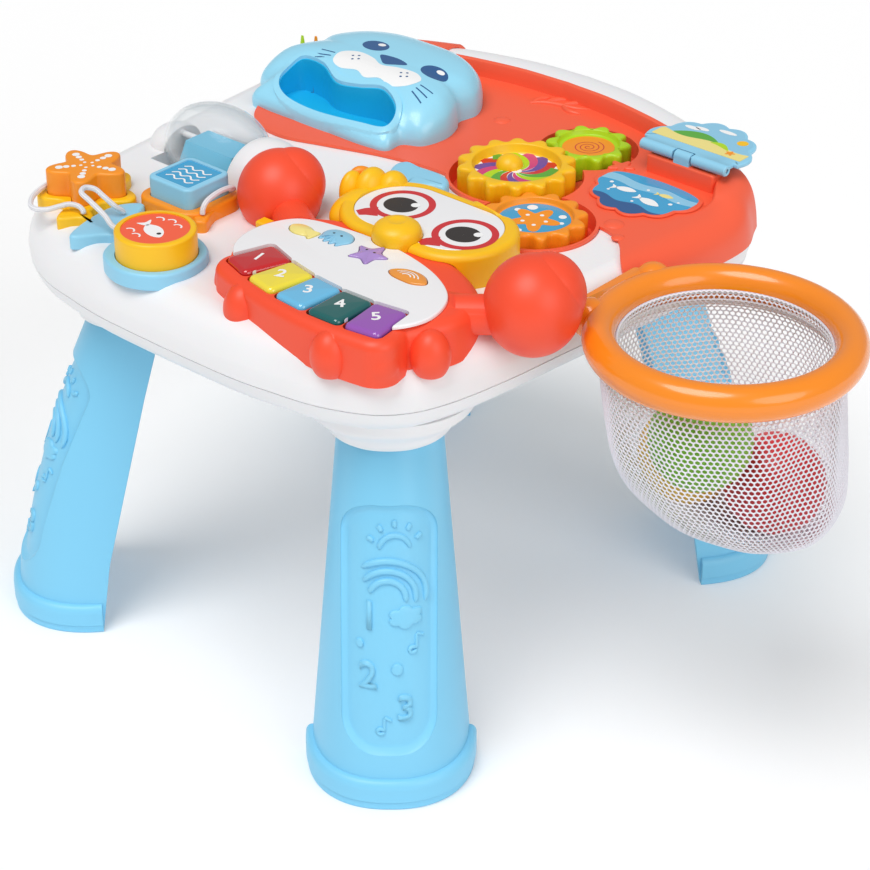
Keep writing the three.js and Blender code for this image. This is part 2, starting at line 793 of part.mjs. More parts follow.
// Seal head outline, from shares of its half width and depth, front to back
function sealOutline() {
  const halfShares = [
    [0, 0], [0.6, 0], [0.79, 0.03], [0.8, 0.14], [0.95, 0.2], [1, 0.36],
    [0.93, 0.5], [0.86, 0.57], [0.88, 0.7], [0.7, 0.88], [0.4, 0.98], [0, 1]];
  return moved(mirroredOutline(halfShares, sealHalfWidth, sealDepth, 30), seal);
}

function sealDome(grow) {
  const shape = inset(sealOutline(), -grow);
  const centre = new THREE.Vector2(seal.x, seal.y + sealDepth * 0.52);
  const levels = [[1, 0], [1, 0.34], [0.96, 0.6], [0.85, 0.82], [0.6, 0.96]];
  const top = sealHeight + grow;
  return loft(levels.map(([share, height]) => ringAt(
    scaled(shape, share, centre), deckHeight + top * height)));
}

function sealMouthOutline(grow) {
  const shares = [
    [-0.6, 0.13], [-0.42, 0.045], [0.5, 0.045], [0.71, 0.08], [0.66, 0.2],
    [0.42, 0.27], [0.18, 0.235], [-0.05, 0.22], [-0.32, 0.29], [-0.58, 0.29]];
  const points = shares.map((s) => [seal.x + s[0] * sealHalfWidth, seal.y + s[1] * sealDepth]);
  return inset(closedSpline(points, 20), -grow);
}

function sealHead() {
  const floor = panelTop + seatGap + mouthFloor;
  const high = deckHeight + sealHeight * 2;
  const bin = prism(sealMouthOutline(sealWall), deckHeight, high);
  const hollow = sealDome(-sealWall).subtract(bin);
  return seated(sealDome(0).subtract(hollow).subtract(prism(sealMouthOutline(0), floor, high)));
}

// Crab piano; its outlines are drawn about its own centre and then turned
const crabTurn = crabTurnDegrees * degrees;
const crabOut = (list) => moved(turned(list, crabTurn), crab);
const crabPoint = (x, y) => new THREE.Vector2(x, y).rotateAround(new THREE.Vector2(), crabTurn).add(crab);

function crabSpline(shares, count) {
  return closedSpline(shares.map(([x, y]) => [x * crabHalfWidth, y * crabDepth]), count);
}

function crabOutline() {
  const shares = [
    [0, -0.47], [0.42, -0.47], [0.63, -0.37], [0.8, -0.17], [0.9, 0.06], [0.8, 0.3], [0.42, 0.47],
    [0, 0.5], [-0.42, 0.48], [-0.8, 0.35], [-1.02, 0.12], [-0.97, -0.12], [-0.77, -0.33], [-0.48, -0.46]];
  return crabOut(crabSpline(shares, 26));
}

function plateOutline(grow) {
  const shares = [
    [0, -0.37], [0.5, -0.37], [0.7, -0.28], [0.8, -0.08], [0.7, 0.14], [0.45, 0.27],
    [0, 0.34], [-0.48, 0.31], [-0.84, 0.2], [-0.93, -0.04], [-0.82, -0.26], [-0.55, -0.36]];
  return inset(crabOut(crabSpline(shares, 22)), -grow);
}

const keyNumbers = [1, 2, 3, 4, 5];
const crabTop = deckHeight + crabHeight;
const keyTop = crabTop + plateThickness;
const keyLow = keyTop - keyHeight;
const bayFloor = keyLow - keyTravel - slideGap - padSheet;

function keyOutline(number, grow, width = keyWidth) {
  const angle = (number - 3) * (keyPitch / keyFanRadius);
  const shape = roundedBox(width / 2 + grow, keyLength / 2 + grow, keyCorner, 2);
  const centre = new THREE.Vector2(0, -keyFanRadius).rotateAround(new THREE.Vector2(), angle);
  centre.y += keyFanRadius - crabDepth * 0.305;
  return crabOut(moved(turned(shape, angle), centre));
}

function keyBay(grow, low) {
  return joined(keyNumbers.map((number) => prism(
    keyOutline(number, grow, keyPitch), low, keyTop + keyHeight)));
}

const buttonShares = { fish: [-0.68, 0.13], jelly: [-0.43, 0.19], star: [-0.1, 0.185], shell: [0.33, 0.16] };

function buttonOutline(name, grow) {
  const [sx, sy] = buttonShares[name];
  const count = 18;
  const lobes = { fish: 2, jelly: 6, star: 5, shell: 3 }[name];
  const swell = { fish: 0.1, jelly: 0.06, star: 0.16, shell: 0.04 }[name];
  const flat = { fish: 0.66, jelly: 0.8, star: 1, shell: 0.72 }[name];
  const shape = Array.from({ length: count }, (unused, i) => {
    const angle = (i / count) * 360 * degrees;
    const radius = buttonRadius * (1 + swell * Math.cos(lobes * (angle - 90 * degrees)));
    return new THREE.Vector2(radius * Math.cos(angle), radius * flat * Math.sin(angle));
  });
  return inset(crabOut(moved(shape, new THREE.Vector2(sx * crabHalfWidth, sy * crabDepth))), -grow);
}

const buttonNames = Object.keys(buttonShares);
const buttonLow = keyTop + buttonStand - buttonHeight;
const nosePlace = crabPoint(-0.156 * crabHalfWidth, 0.424 * crabDepth);
const noseLow = crabTop - noseSink;
const noseTop = noseLow + noseHeight;

// Hole that the nose button moves in, open above
function noseHole(low) {
  return prism(circle(noseRadius + slideGap, 16, nosePlace), low, noseTop * 2);
}

const crabFeetShares = [[-0.76, -0.3], [-0.425, -0.46], [0.425, -0.46], [0.7, -0.33], [0.86, -0.1]];
const clawShares = { left: [-1.32, 0.4], right: [1.067, 0.456] };

function clawCentre(side) {
  const [sx, sy] = clawShares[side];
  const p = crabPoint(sx * crabHalfWidth, sy * crabDepth);
  return [p.x, p.y, deckHeight + clawRadius[side] * 0.55];
}

// Arms run from the crab's shoulders into its claws
function crabArm(side, grow) {
  const height = deckHeight + footRadius * 0.8;
  const centre = clawCentre(side);
  const shoulderShare = side === 'left' ? -0.72 : 0.72;
  const shoulder = crabPoint(shoulderShare * crabHalfWidth, crabDepth * 0.18);
  return rod(footRadius + grow, [shoulder.x, shoulder.y, height], [centre[0], centre[1], height], 10);
}

function clawBall(side, grow) {
  const c = clawCentre(side);
  const r = clawRadius[side] + grow;
  const pincer = clawRadius[side] * 0.6;
  return ellipsoid(c, [r, r, r * 1.06], 14, 8)
    .add(ellipsoid([c[0] + pincer * 0.8, c[1] + pincer * 0.75, c[2] + pincer * 0.42],
      [pincer + grow, pincer + grow, pincer * 1.15 + grow], 10, 6));
}

const crabArmBodies = crabArm('left', 0).add(crabArm('right', 0));

function crabFeet(grow) {
  return joined(crabFeetShares.map(([sx, sy]) => {
    const p = crabPoint(sx * crabHalfWidth, sy * crabDepth);
    const across = footRadius + grow;
    return ellipsoid([p.x, p.y, deckHeight], [across, across, footRadius * 1.35 + grow], 9, 6);
  }));
}

function crabBody() {
  const shape = crabOutline();
  const outer = pillow(shape, seamHeight, crabTop, crabHeight * 0.42, 2);
  const plateRoom = prism(plateOutline(seatGap), crabTop, keyTop + keyHeight);
  let body = joined([outer, crabFeet(0), crabArmBodies]).subtract(plateRoom);
  body = body.subtract(deckBlock).subtract(keyBay(slideGap, bayFloor));
  buttonNames.forEach((name) => {
    body = body.subtract(prism(
      buttonOutline(name, slideGap), buttonLow - buttonTravel - slideGap, keyTop + buttonHeight));
  });
  body = body.subtract(noseHole(noseLow - noseTravel - slideGap));
  return largest(body.subtract(clawBall('left', seatGap)).subtract(clawBall('right', seatGap))
    .subtract(slab(0, deckHeight - seatDrop)));
}

function crabFaceplate() {
  let plate = pillow(plateOutline(0), crabTop + seatGap, keyTop, plateRound, 2);
  plate = plate.subtract(keyBay(slideGap, seamHeight));
  buttonNames.forEach((name) => {
    plate = plate.subtract(prism(buttonOutline(name, slideGap), seamHeight, keyTop + buttonHeight));
  });
  return largest(plate.subtract(noseHole(seamHeight)));
}

function key(number) {
  const shape = keyOutline(number, 0);
  const body = pillow(shape, keyLow, keyTop, keyRound, 2);
  const centre = middleOf(shape);
  const pocketOutline = circle(padRadius + slideGap * 2, 12, centre);
  const pocket = prism(pocketOutline, keyLow - overrun, keyLow + padHeight + slideGap);
  return body.subtract(pocket);
}

// Rubber sheet with a dome under each key
function switchPads() {
  const low = bayFloor + seatGap;
  return joined(keyNumbers.map((number) => {
    const centre = middleOf(keyOutline(number, 0));
    return loft([
      ringAt(circle(padRadius, 6, centre), low),
      ringAt(circle(padRadius * 0.6, 6, centre), low + padSheet + padHeight)]);
  })).add(keyBay(slideGap - seatGap, low).subtract(slab(low + padSheet - seatGap, keyTop * 2)));
}

function playButton(name) {
  return pillow(buttonOutline(name, 0), buttonLow, buttonLow + buttonHeight, buttonRound, 1);
}

function noseButton() {
  const levels = [[1, 0], [1, 0.45], [0.9, 0.72], [0.66, 0.9], [0.34, 0.985]];
  return loft(levels.map(([share, height]) => ringAt(
    circle(noseRadius * share, 16, nosePlace), noseLow + noseHeight * height)));
}

function claw(side) {
  const ball = clawBall(side, 0).subtract(crabArm(side, seatGap));
  return ball.subtract(deckBlock).subtract(slab(0, bulgeHeight));
}

const faceTop = deckHeight + faceHeight;

function faceBodyOutline(grow) {
  return moved(roundedBox(faceHalfWidth + grow, faceHalfDepth + grow, faceHalfDepth * 0.96, 4), face);
}

function maskOutline(gap) {
  return moved(roundedBox(
    faceHalfWidth * 0.86 - gap, faceHalfDepth * 0.8 - gap, faceHalfDepth * 0.77 - gap, 4), face);
}

function diverFace(room) {
  const body = pillow(faceBodyOutline(0), seamHeight, faceTop, faceRound, 2);
  const lobe = (sx, sy, sz, rx, ry, rz) => ellipsoid(
    [face.x + sx * faceHalfWidth, face.y + sy * faceHalfDepth, deckHeight + sz * faceHeight],
    [rx * faceHalfDepth, ry * faceHalfDepth, rz * faceHalfDepth], 10, 6);
  const ear = lobe(0.28, 0.92, 0.75, 0.5, 0.26, 0.22);
  const crestShares = [[-1.15, 0.1, 0.84], [-1.05, 0.4, 0.87], [-0.9, 0.65, 0.9], [-0.7, 0.85, 0.93]];
  const crest = joined(crestShares.map(([sx, sy, sz]) => lobe(sx, sy, sz, 0.2, 0.26, 0.32)));
  const mask = prism(maskOutline(0), faceTop - maskThickness, faceTop * 2);
  const hollow = pillow(
    faceBodyOutline(-sealWall), seamHeight, faceTop - sealWall * 2, faceHollowRound, 2);
  return seated(joined([body, ear, crest])).subtract(gearWell(seatGap, 0, deckHeight * 2))
    .subtract(mask).subtract(hollow).subtract(noseHole(noseLow - noseTravel - slideGap))
    .subtract(room).subtract(snorkelTube(slideGap));
}

// The crab's outer form grown by the seat gap, which the face is cut by
function crabRoom() {
  return joined([
    pillow(inset(crabOutline(), -seatGap), seamHeight, crabTop + seatGap, crabHeight * 0.42, 2),
    crabFeet(seatGap),
    pillow(plateOutline(seatGap), crabTop - seatGap, keyTop + seatGap, plateRound, 2),
    crabArmBodies, clawBall('left', seatGap), clawBall('right', seatGap)]);
}

function diverMask(room) {
  const plate = pillow(
    maskOutline(seatGap), faceTop - maskThickness + seatGap, faceTop, maskRound, 1);
  return plate.subtract(noseHole(0)).subtract(room);
}

// Route of the snorkel, as shares of the face's half depth from its place and of the face's height
const snorkelShares = [[-0.14, -0.02, -0.08], [-0.19, 0.02, 0.69], [-0.1, 0.16, 1.15], [0.04, 0.3, 1.04],
  [0.11, 0.39, 0.54], [0.13, 0.43, -0.08]];

function snorkelTube(grow) {
  const x = face.x - 1.14 * faceHalfWidth;
  const y = face.y + 0.22 * faceHalfDepth;
  const points = snorkelShares.map(([sx, sy, sz]) => [
    x + sx * faceHalfDepth, y + sy * faceHalfDepth, deckHeight + sz * faceHeight]);
  return tube(points, snorkelRadius + grow, 8, 14);
}

function finWave(room) {
  const x = face.x - faceHalfWidth * 0.98;
  const y = face.y + faceHalfDepth * 1.28;
  const shape = new THREE.Shape();
  shape.moveTo(0, 0);
  shape.lineTo(faceHalfWidth * 0.72, 0);
  shape.quadraticCurveTo(faceHalfWidth * 0.3, faceHeight * 0.35, faceHalfWidth * 0.08, faceHeight * 0.95);
  shape.quadraticCurveTo(-faceHalfWidth * 0.06, faceHeight * 0.6, 0, 0);
  const geometry = new THREE.ExtrudeGeometry(shape, {
    depth: faceHalfDepth * 0.22,
    bevelThickness: waveBevel,
    bevelSize: waveBevel,
    bevelSegments: 2,
    curveSegments: 8,
  });
  geometry.rotateX(90 * degrees);
  geometry.rotateZ(8 * degrees);
  geometry.translate(x, y, deckHeight - waveSink);
  const knob = ellipsoid([x - faceHalfWidth * 0.5, y, deckHeight - waveSink], waveKnob, 14, 8);
  const stripShares = [[-0.55, -0.02], [0.05, -0.1], [0.05, 0.06], [-0.55, 0.1]];
  const stripOutline = stripShares.map(([sx, sy]) => new THREE.Vector2(
    x + sx * faceHalfWidth, y + sy * faceHalfWidth));
  const strip = prism(stripOutline, deckHeight, deckHeight + waveStrip);
  return seated(joined([solid(geometry), knob, strip])).subtract(room)
    .subtract(gearWell(seatGap, 0, deckHeight * 2));
}

// Shape trays and their blocks

function starOutline(radius, points = 5, perPoint = 6, depth = 0.2) {
  const count = points * perPoint;
  return Array.from({ length: count }, (unused, i) => {
    const angle = (i / count) * 360 * degrees + 90 * degrees;
    const wave = Math.cos(points * (angle - 90 * degrees));
    return new THREE.Vector2(radius * (1 - depth + depth * wave) * Math.cos(angle),
      radius * (1 - depth + depth * wave) * Math.sin(angle));
  });
}

const blockLow = deckHeight + seatGap * 2 + trayFloor;

const blocks = {
  star: { outline: () => moved(starOutline(starRadius), starPlace), place: starPlace },
  square: {
    outline: () => moved(roundedBox(squareHalf, squareHalf, blockCorner, 4), squarePlace),
    place: squarePlace,
  },
  round: { outline: () => moved(circle(roundRadius, 28), roundPlace), place: roundPlace },
};

function block(name) {
  const shape = blocks[name].outline();
  const high = blockLow + blockHeight;
  return pillow(shape, blockLow, high, blockRound, 1)
    .subtract(prism(inset(shape, labelRim), high - labelDepth, high + overrun));
}

function tray(name, shape, tail) {
  const body = pillow(shape, seamHeight, deckHeight + trayHeight[name], trayRound, 1).add(tail);
  const pocket = prism(
    inset(blocks[name].outline(), -slideGap), deckHeight + seatGap + trayFloor, blockLow + blockHeight);
  return largest(body.subtract(pocket).subtract(deckBlock).subtract(slab(0, deckHeight - trayDrop)));
}

// Low fin beside a tray, from shares of its block's radius
function fin(shares, reach, place, height) {
  const points = shares.map(([x, y]) => [x * reach, y * reach]);
  return pillow(moved(closedSpline(points, 16), place), seamHeight, deckHeight + height, trayRound, 1);
}

function starTray(neighbour) {
  const shape = moved(starOutline(starRadius + trayWall, 5, 6, 0.16), starPlace);
  const tailShares = [[0.3, -0.6], [1.1, -0.85], [1.45, -1.2], [1, -1.15], [0.6, -1.55], [0.3, -1.1]];
  const whole = tray('star', shape, fin(tailShares, starRadius, starPlace, trayHeight.star * 0.9));
  return largest(whole.subtract(neighbour));
}

function squareTray() {
  const shape = moved(
    roundedBox(squareHalf + trayWall, squareHalf + trayWall * 0.8, trayCorner, 4), squarePlace);
  const footShares = [[0.6, -1.1], [1.15, -1], [1.5, -1.2], [1.75, -1], [1.5, -0.5], [1.2, 0], [0.6, 0]];
  return tray('square', shape, fin(footShares, squareHalf, squarePlace, trayHeight.square * 0.8));
}

function roundTray(room) {
  const bodyShares = [
    [1.18, 0], [0.88, 0.88], [0, 1.27], [-0.95, 1], [-1.32, 0.1], [-1, -0.85], [0, -1.22], [0.9, -0.82]];
  const shape = moved(
    closedSpline(bodyShares.map(([x, y]) => [x * roundRadius, y * roundRadius]), 24), roundPlace);
  const tailShares = [
    [-1.1, 0.2], [-1.7, -0.1], [-2.3, -0.75], [-2.6, -0.2], [-2.75, 1.2], [-2.3, 1.7], [-1.8, 1], [-1, 1]];
  const whole = tray('round', shape, fin(tailShares, roundRadius, roundPlace, trayHeight.round * 0.9));
  return largest(whole.subtract(room));
}

// Tether cords: hand-chosen routes from the side of each block to its tray, as shares of the
// block's radius across and of its height above the deck
const cordShares = {
  star: [
    [-0.62, -0.2, 0.6], [-0.75, -0.3, 0.58], [-0.76, -0.56, 0.48], [-0.62, -1.04, 0.48],
    [-0.43, -1.42, 0.48], [-0.17, -1.68, 0.44], [0.01, -1.7, 0.42], [0.24, -1.55, 0.42],
    [0.38, -1.32, 0.46], [0.56, -1.11, 0.52], [0.79, -1.02, 0.5], [0.93, -1.02, 0.42], [0.96, -1.03, 0.31]],
  square: [
    [1.03, 0.78, 0.58], [1.14, 0.9, 0.64], [1.2, 0.75, 0.74], [1.22, 0.35, 0.8], [1.32, -0.27, 0.8],
    [1.37, -0.6, 0.72], [1.39, -0.74, 0.58], [1.4, -0.78, 0.41]],
  round: [
    [-1.02, 0.02, 0.6], [-1.41, -0.1, 0.64], [-1.77, -0.05, 0.84], [-2.31, -0.02, 1.08],
    [-2.67, 0.03, 1.2], [-2.81, 0.28, 1.2], [-2.68, 0.47, 1.12], [-2.43, 0.55, 0.92],
    [-2.22, 0.69, 0.64], [-2.17, 0.85, 0.46], [-2.17, 0.92, 0.34]],
};

const blockRadius = { star: starRadius, square: squareHalf, round: roundRadius };

function cord(name) {
  const { place } = blocks[name];
  const reach = blockRadius[name];
  const route = cordShares[name].map(([sx, sy, sz]) => [
    place.x + sx * reach, place.y + sy * reach, deckHeight + sz * blockHeight]);
  return tube(route, cordDiameter / 2, 8, Math.round(route.length * 1.5));
}

// Rattle drum: clear barrel that turns on an axle between the humps
function drumShell() {
  const half = drumEnd;
  const bore = drumAxleRadius + seatGap;
  const barrel = (radius, reach) => [0, 0.25, 0.5, 0.75, 1].map((t) => new THREE.Vector2(
    radius * (1 - 0.14 * (2 * t - 1) ** 2), (2 * t - 1) * reach));
  const outer = barrel(drumRadius, half);
  const inner = barrel(drumRadius - drumWall, half - drumWall).reverse();
  const profile = [
    new THREE.Vector2(bore, -half), ...outer, new THREE.Vector2(bore, half),
    new THREE.Vector2(bore, half - drumWall), ...inner, new THREE.Vector2(bore, -half + drumWall),
    new THREE.Vector2(bore, -half)];
  const geometry = new THREE.LatheGeometry(profile, 18);
  geometry.rotateZ(-90 * degrees);
  geometry.translate(drum.x, drum.y, drumAxisHeight);
  return solid(geometry);
}

function drumPaddle() {
  const size = drumRadius * 0.66;
  const wedgeShares = [[-0.9, -0.5], [0.9, -0.5], [0.25, 0.95], [-0.25, 0.95]];
  const shape = wedgeShares.map(([x, y]) => new THREE.Vector2(x * size, y * size));
  const length = drumLength - drumWall * 2 - seatGap * 2;
  const bar = prism(shape, -length / 2, length / 2).rotate([90, 0, 0]).rotate([0, 0, 90])
    .translate([drum.x, drum.y, drumAxisHeight]);
  return bar.subtract(drumRod(drumAxleRadius + seatGap, drumLength));
}

function drumBead() {
  const reach = drumRadius - drumWall - beadRadius - seatGap;
  return ellipsoid([drum.x, drum.y, drumAxisHeight - reach], [beadRadius, beadRadius, beadRadius], 12, 8);
}

function drumAxle() {
  return drumRod(drumAxleRadius, drumEnd + humpLength * 0.5);
}

// Basket
const sideReach = 0.97 * tableHalfWidth;
const hoop = new THREE.Vector2(
  sideReach + hoopGap + hoopRadius + hoopTubeWide * 0.1, hoopShareY * tableFront);
const hoopHeight = deckHeight - hoopTubeTall * 0.5;

function hoopRing() {
  const section = circle(1, 8).map((p) => new THREE.Vector2(
    hoopRadius + p.x * hoopTubeWide, p.y * hoopTubeTall));
  section.push(section[0].clone());
  const geometry = new THREE.LatheGeometry(section, 24);
  geometry.rotateX(90 * degrees);
  geometry.translate(hoop.x, hoop.y, hoopHeight);
  let ring = solid(geometry);
  const lobeShares = [-0.38, 0.38];
  lobeShares.forEach((share) => {
    ring = ring.add(ellipsoid(
      [hoop.x - hoopRadius * 0.93 - hoopTubeWide * 0.3, hoop.y + share * hoopRadius, hoopHeight],
      [hoopTubeWide * 1.7, hoopTubeWide * 1.5, hoopTubeTall * 0.96], 10, 6));
  });
  const padPlace = new THREE.Vector2(hoop.x - hoopRadius - hoopTubeWide * 0.2, hoop.y);
  ring = ring.add(pillow(
    moved(roundedBox(hoopTubeWide * 1.3, hoopRadius * 0.4, hoopPadCorner, 3), padPlace),
    hoopHeight - hoopTubeTall * 0.85, hoopHeight + hoopTubeTall * 0.8, hoopPadRound, 2));
  return seated(ring);
}

// The bag hangs from the hoop and leans where the balls lie
const netLevels = [[0, 0, 0, 1], [0.2, 0, 0, 0.95], [0.42, -0.01, 0.02, 0.93], [0.62, -0.02, 0.06, 0.91],
  [0.78, -0.03, 0.09, 0.85], [0.9, -0.03, 0.11, 0.74], [0.97, -0.02, 0.12, 0.58], [1, 0, 0.12, 0.32]];

function netRing(level, grow) {
  const [drop, sx, sy, share] = level;
  const centre = new THREE.Vector2(hoop.x + sx * hoopRadius, hoop.y + sy * hoopRadius);
  const top = hoopHeight - hoopTubeTall - seatGap;
  return ringAt(circle(share * hoopRadius + grow, 18, centre), top - drop * netDepth - (drop > 0 ? grow : 0));
}

function netBag() {
  const outer = netLevels.slice().reverse().map((level) => netRing(level, 0));
  const inner = netLevels.map((level) => netRing(level, -netWall));
  return loft([...outer, ...inner]);
}

const ballShares = {
  green: [0.187, -0.441, 0.409], red: [0.343, 0.197, 0.822], yellow: [-0.321, -0.194, 0.767] };

function ball(name) {
  const [sx, sy, drop] = ballShares[name];
  return ellipsoid(
    [hoop.x + sx * hoopRadius, hoop.y + sy * hoopRadius, hoopHeight - drop * netDepth],
    [ballRadius, ballRadius, ballRadius], 12, 8);
}

// Weed tips behind the seal
function weed(name, room) {
  const [sx, sy, high] = weedShares[name];
  const place = tableAt([sx, sy]);
  const shape = circle(weedRadius, 10).map((p) => new THREE.Vector2(p.x * 1.2, p.y * 0.7));
  const levels = [[1, 0], [1.25, 0.35], [0.9, 0.7], [0.3, 1]];
  return seated(loft(levels.map(([share, height]) => ringAt(
    moved(scaled(shape, share), place),
    bulgeHeight + (deckHeight - bulgeHeight + high * sealHeight) * height)))).subtract(room);
}

// Under the table
function batteryDoor() {
  const shape = roundedBox(tableHalfWidth * 0.24, tableFront * 0.16, doorCorner, 3);
  return prism(shape, undersideHeight - seatGap - doorThickness, undersideHeight - seatGap);
}

function doorScrew() {
  const place = new THREE.Vector2(0, -0.13 * tableFront);
  const low = undersideHeight - seatGap - doorThickness - screwHeadHeight - seatGap;
  return prism(circle(screwHeadRadius, 12, place), low, low + screwHeadHeight);
}

function circuitBoard() {
  const place = new THREE.Vector2(0, 0.1 * tableBack);
  const low = undersideHeight + shellWall + seatGap;
  const shape = roundedBox(tableHalfWidth * 0.22, tableFront * 0.18, boardCorner, 2);
  return prism(moved(shape, place), low, low + boardThickness);
}

function speakerUnit() {
  const place = new THREE.Vector2(-0.4 * tableHalfWidth, 0.05 * tableBack);
  const low = undersideHeight + shellWall + seatGap;
  const rim = circle(speakerRadius, 16, place);
  const magnet = circle(magnetRadius, 16, place);
  return loft([
    ringAt(rim, low), ringAt(rim, low + speakerHeights.rim),
    ringAt(magnet, low + speakerHeights.cone), ringAt(magnet, low + speakerHeights.magnet)]);
}

function clawPeg() {
  const p = crabPoint(-1.12 * crabHalfWidth, 0.16 * crabDepth);
  const shape = moved(roundedBox(pegHalfWidth, pegHalfDepth, pegCorner, 2), p);
  return pillow(shape, seamHeight, deckHeight + pegHeight, pegRound, 1);
}

// Assembly
addNode('top_shell', topShell(), white, 0.38);
addNode('bottom_shell', bottomShell(), white, 0.38);
const legBody = legSolid();
legPlaces.forEach(([name, sideX, sideY]) => {
  addNode(`leg_${name}`, legBody.rotate([0, 0, legTurn(sideX, sideY)]), skyBlue, 0.5);
});
addNode('upper_panel', upperPanel().add(hingeFoot()), coral, 0.45);
addNode('seal_head', sealHead(), paleBlue, 0.3);
const crabSolid = crabBody();
addNode('crab_body', crabSolid, coral, 0.45);
const room = crabRoom();
addNode('crab_claw_left', claw('left'), coral, 0.45);
addNode('crab_claw_right', claw('right'), coral, 0.45);
addNode('crab_faceplate', crabFaceplate(), white, 0.35);
const keyColors = [red, '#F8E64A', '#69C3EC', '#0B6C6B', '#A45BC2'];
keyNumbers.forEach((number, i) => addNode(`key_${number}`, key(number), keyColors[i], 0.18));
const buttonColors = { fish: '#F6E58A', jelly: '#8FCDEB', star: '#B79AD6', shell: '#F09A3C' };
buttonNames.forEach((name) => addNode(`button_${name}`, playButton(name), buttonColors[name], 0.35));
addNode('diver_face', diverFace(room), yellow, 0.4);
addNode('diver_mask', diverMask(room), white, 0.3);
addNode('nose_button', noseButton(), yellow, 0.35);
addNode('snorkel', seated(snorkelTube(0)).subtract(room), orange, 0.4);
addNode('fin_wave', finWave(room), paleBlue, 0.4);
const roundTrayBody = roundTray(room);
addNode('star_tray', starTray(roundTrayBody.translate([-slideGap, 0, 0])), yellow, 0.45);
addNode('square_tray', largest(squareTray().subtract(room)), orange, 0.45);
addNode('round_tray', roundTrayBody, skyBlue, 0.45);
addNode('star_block', block('star'), orange, 0.45);
addNode('square_block', block('square'), paleBlue, 0.45);
addNode('round_block', block('round'), yellow, 0.45);
addNode('star_cord', cord('star'), white, 0.8);
addNode('square_cord', cord('square'), white, 0.8);
addNode('round_cord', cord('round'), white, 0.8);
const meshPhase = (name, angle) => (
  angle + 180 + (gearTeeth.yellow * angle - 180) / gearTeeth[name]) * degrees;
addNode('gear_yellow', gear('yellow', 0), yellow, 0.4);
addNode('gear_green', gear('green', meshPhase('green', gearGreenAngle)), '#B8E01A', 0.4);
addNode('gear_orange', gear('orange', meshPhase('orange', gearOrangeAngle)), orange, 0.4);
addNode('gear_axles', gearAxles(), white, 0.4);
addNode('flip_page', flipPage(), paleBlue, 0.4);
addNode('hinge_pin', hingeKnuckle(-0.45, 0.45, hingePinRadius), '#C8CCD0', 0.3, { metalness: 1 });
addNode('picture_window', pictureWindow(), '#35A6D8', 0.2);
addNode('rattle_drum', drumShell(), '#E6F2F6', 0.05, { transparent: true, opacity: 0.35 });
addNode('rattle_paddle', drumPaddle(), '#49BCE6', 0.2);
addNode('rattle_bead', drumBead(), red, 0.3);
addNode('drum_axle', drumAxle(), white, 0.3);
addNode('hoop_ring', hoopRing(), orange, 0.2);
addNode('net_bag', netBag(), white, 0.8);
addNode('ball_green', ball('green'), '#8CCB3F', 0.4);
addNode('ball_red', ball('red'), '#E0434A', 0.4);
addNode('ball_yellow', ball('yellow'), '#F6CF57', 0.4);
const weedColors = { green: '#A5D53A', orange: '#F7A01E', pink: '#D94A8C' };
const sealRoom = sealDome(seatGap);
Object.keys(weedColors).forEach((name) => {
  addNode(`fin_${name}`, weed(name, sealRoom), weedColors[name], 0.4);
});
addNode('switch_pads', switchPads(), '#D8D8D4', 0.8);
addNode('circuit_board', circuitBoard(), '#1E7A3C', 0.5);
addNode('speaker', speakerUnit(), '#2A2A2C', 0.5);
addNode('battery_door', batteryDoor(), white, 0.4);
addNode('door_screw', doorScrew(), '#B8BCC0', 0.3, { metalness: 1 });
addNode('claw_peg', seated(clawPeg()).subtract(room), yellow, 0.4);

// The origin lies on the floor, under the middle of the box that holds the table without its cords
const box = new THREE.Box3();
model.children.filter((mesh) => !mesh.name.endsWith('_cord')).forEach((mesh) => {
  mesh.geometry.computeBoundingBox();
  box.union(mesh.geometry.boundingBox);
});
const shift = new THREE.Vector3((box.min.x + box.max.x) / 2, (box.min.y + box.max.y) / 2, box.min.z);
model.position.copy(shift).multiplyScalar(-1);

export default model;
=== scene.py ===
import math
import bpy
import numpy as np
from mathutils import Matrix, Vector


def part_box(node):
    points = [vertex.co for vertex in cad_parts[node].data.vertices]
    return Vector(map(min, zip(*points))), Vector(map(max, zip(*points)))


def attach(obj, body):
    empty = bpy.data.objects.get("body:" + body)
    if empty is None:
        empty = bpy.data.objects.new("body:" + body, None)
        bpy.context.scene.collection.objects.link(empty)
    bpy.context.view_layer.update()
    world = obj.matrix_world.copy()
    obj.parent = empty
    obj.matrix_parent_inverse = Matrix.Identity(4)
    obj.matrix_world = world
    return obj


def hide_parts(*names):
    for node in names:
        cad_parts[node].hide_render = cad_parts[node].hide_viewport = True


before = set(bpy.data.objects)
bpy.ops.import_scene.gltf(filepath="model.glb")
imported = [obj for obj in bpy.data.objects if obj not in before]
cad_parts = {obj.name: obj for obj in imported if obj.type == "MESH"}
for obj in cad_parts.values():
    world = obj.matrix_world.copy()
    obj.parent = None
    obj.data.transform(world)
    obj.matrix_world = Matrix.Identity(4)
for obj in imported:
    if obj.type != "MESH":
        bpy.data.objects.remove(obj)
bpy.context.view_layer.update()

rng = np.random.default_rng(7)

# Plan frame in millimetres: origin on the floor under the table's middle, +x right, +y to the arch.
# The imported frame's origin is moved in x and y, by as much as the middle of the four feet.
FEET = [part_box("leg_" + n) for n in ("front_left", "front_right", "rear_left", "rear_right")]
SHIFT = np.array([
    (min(f[0][0] for f in FEET) + max(f[1][0] for f in FEET)) * 500,
    (min(f[0][1] for f in FEET) + max(f[1][1] for f in FEET)) * 500, 0.0])

# Sizes shared with the solids
HALF, FRONT, BACK = 235.0, 244.0, 254.0
DECK, BULGE, SEAM, UNDER, RIM = 350.0, 322.0, 309.0, 286.0, 26.0
ARCH, ARCH_STEP, GAP, PANEL = 13.0, 3.0, 0.3, 2.4
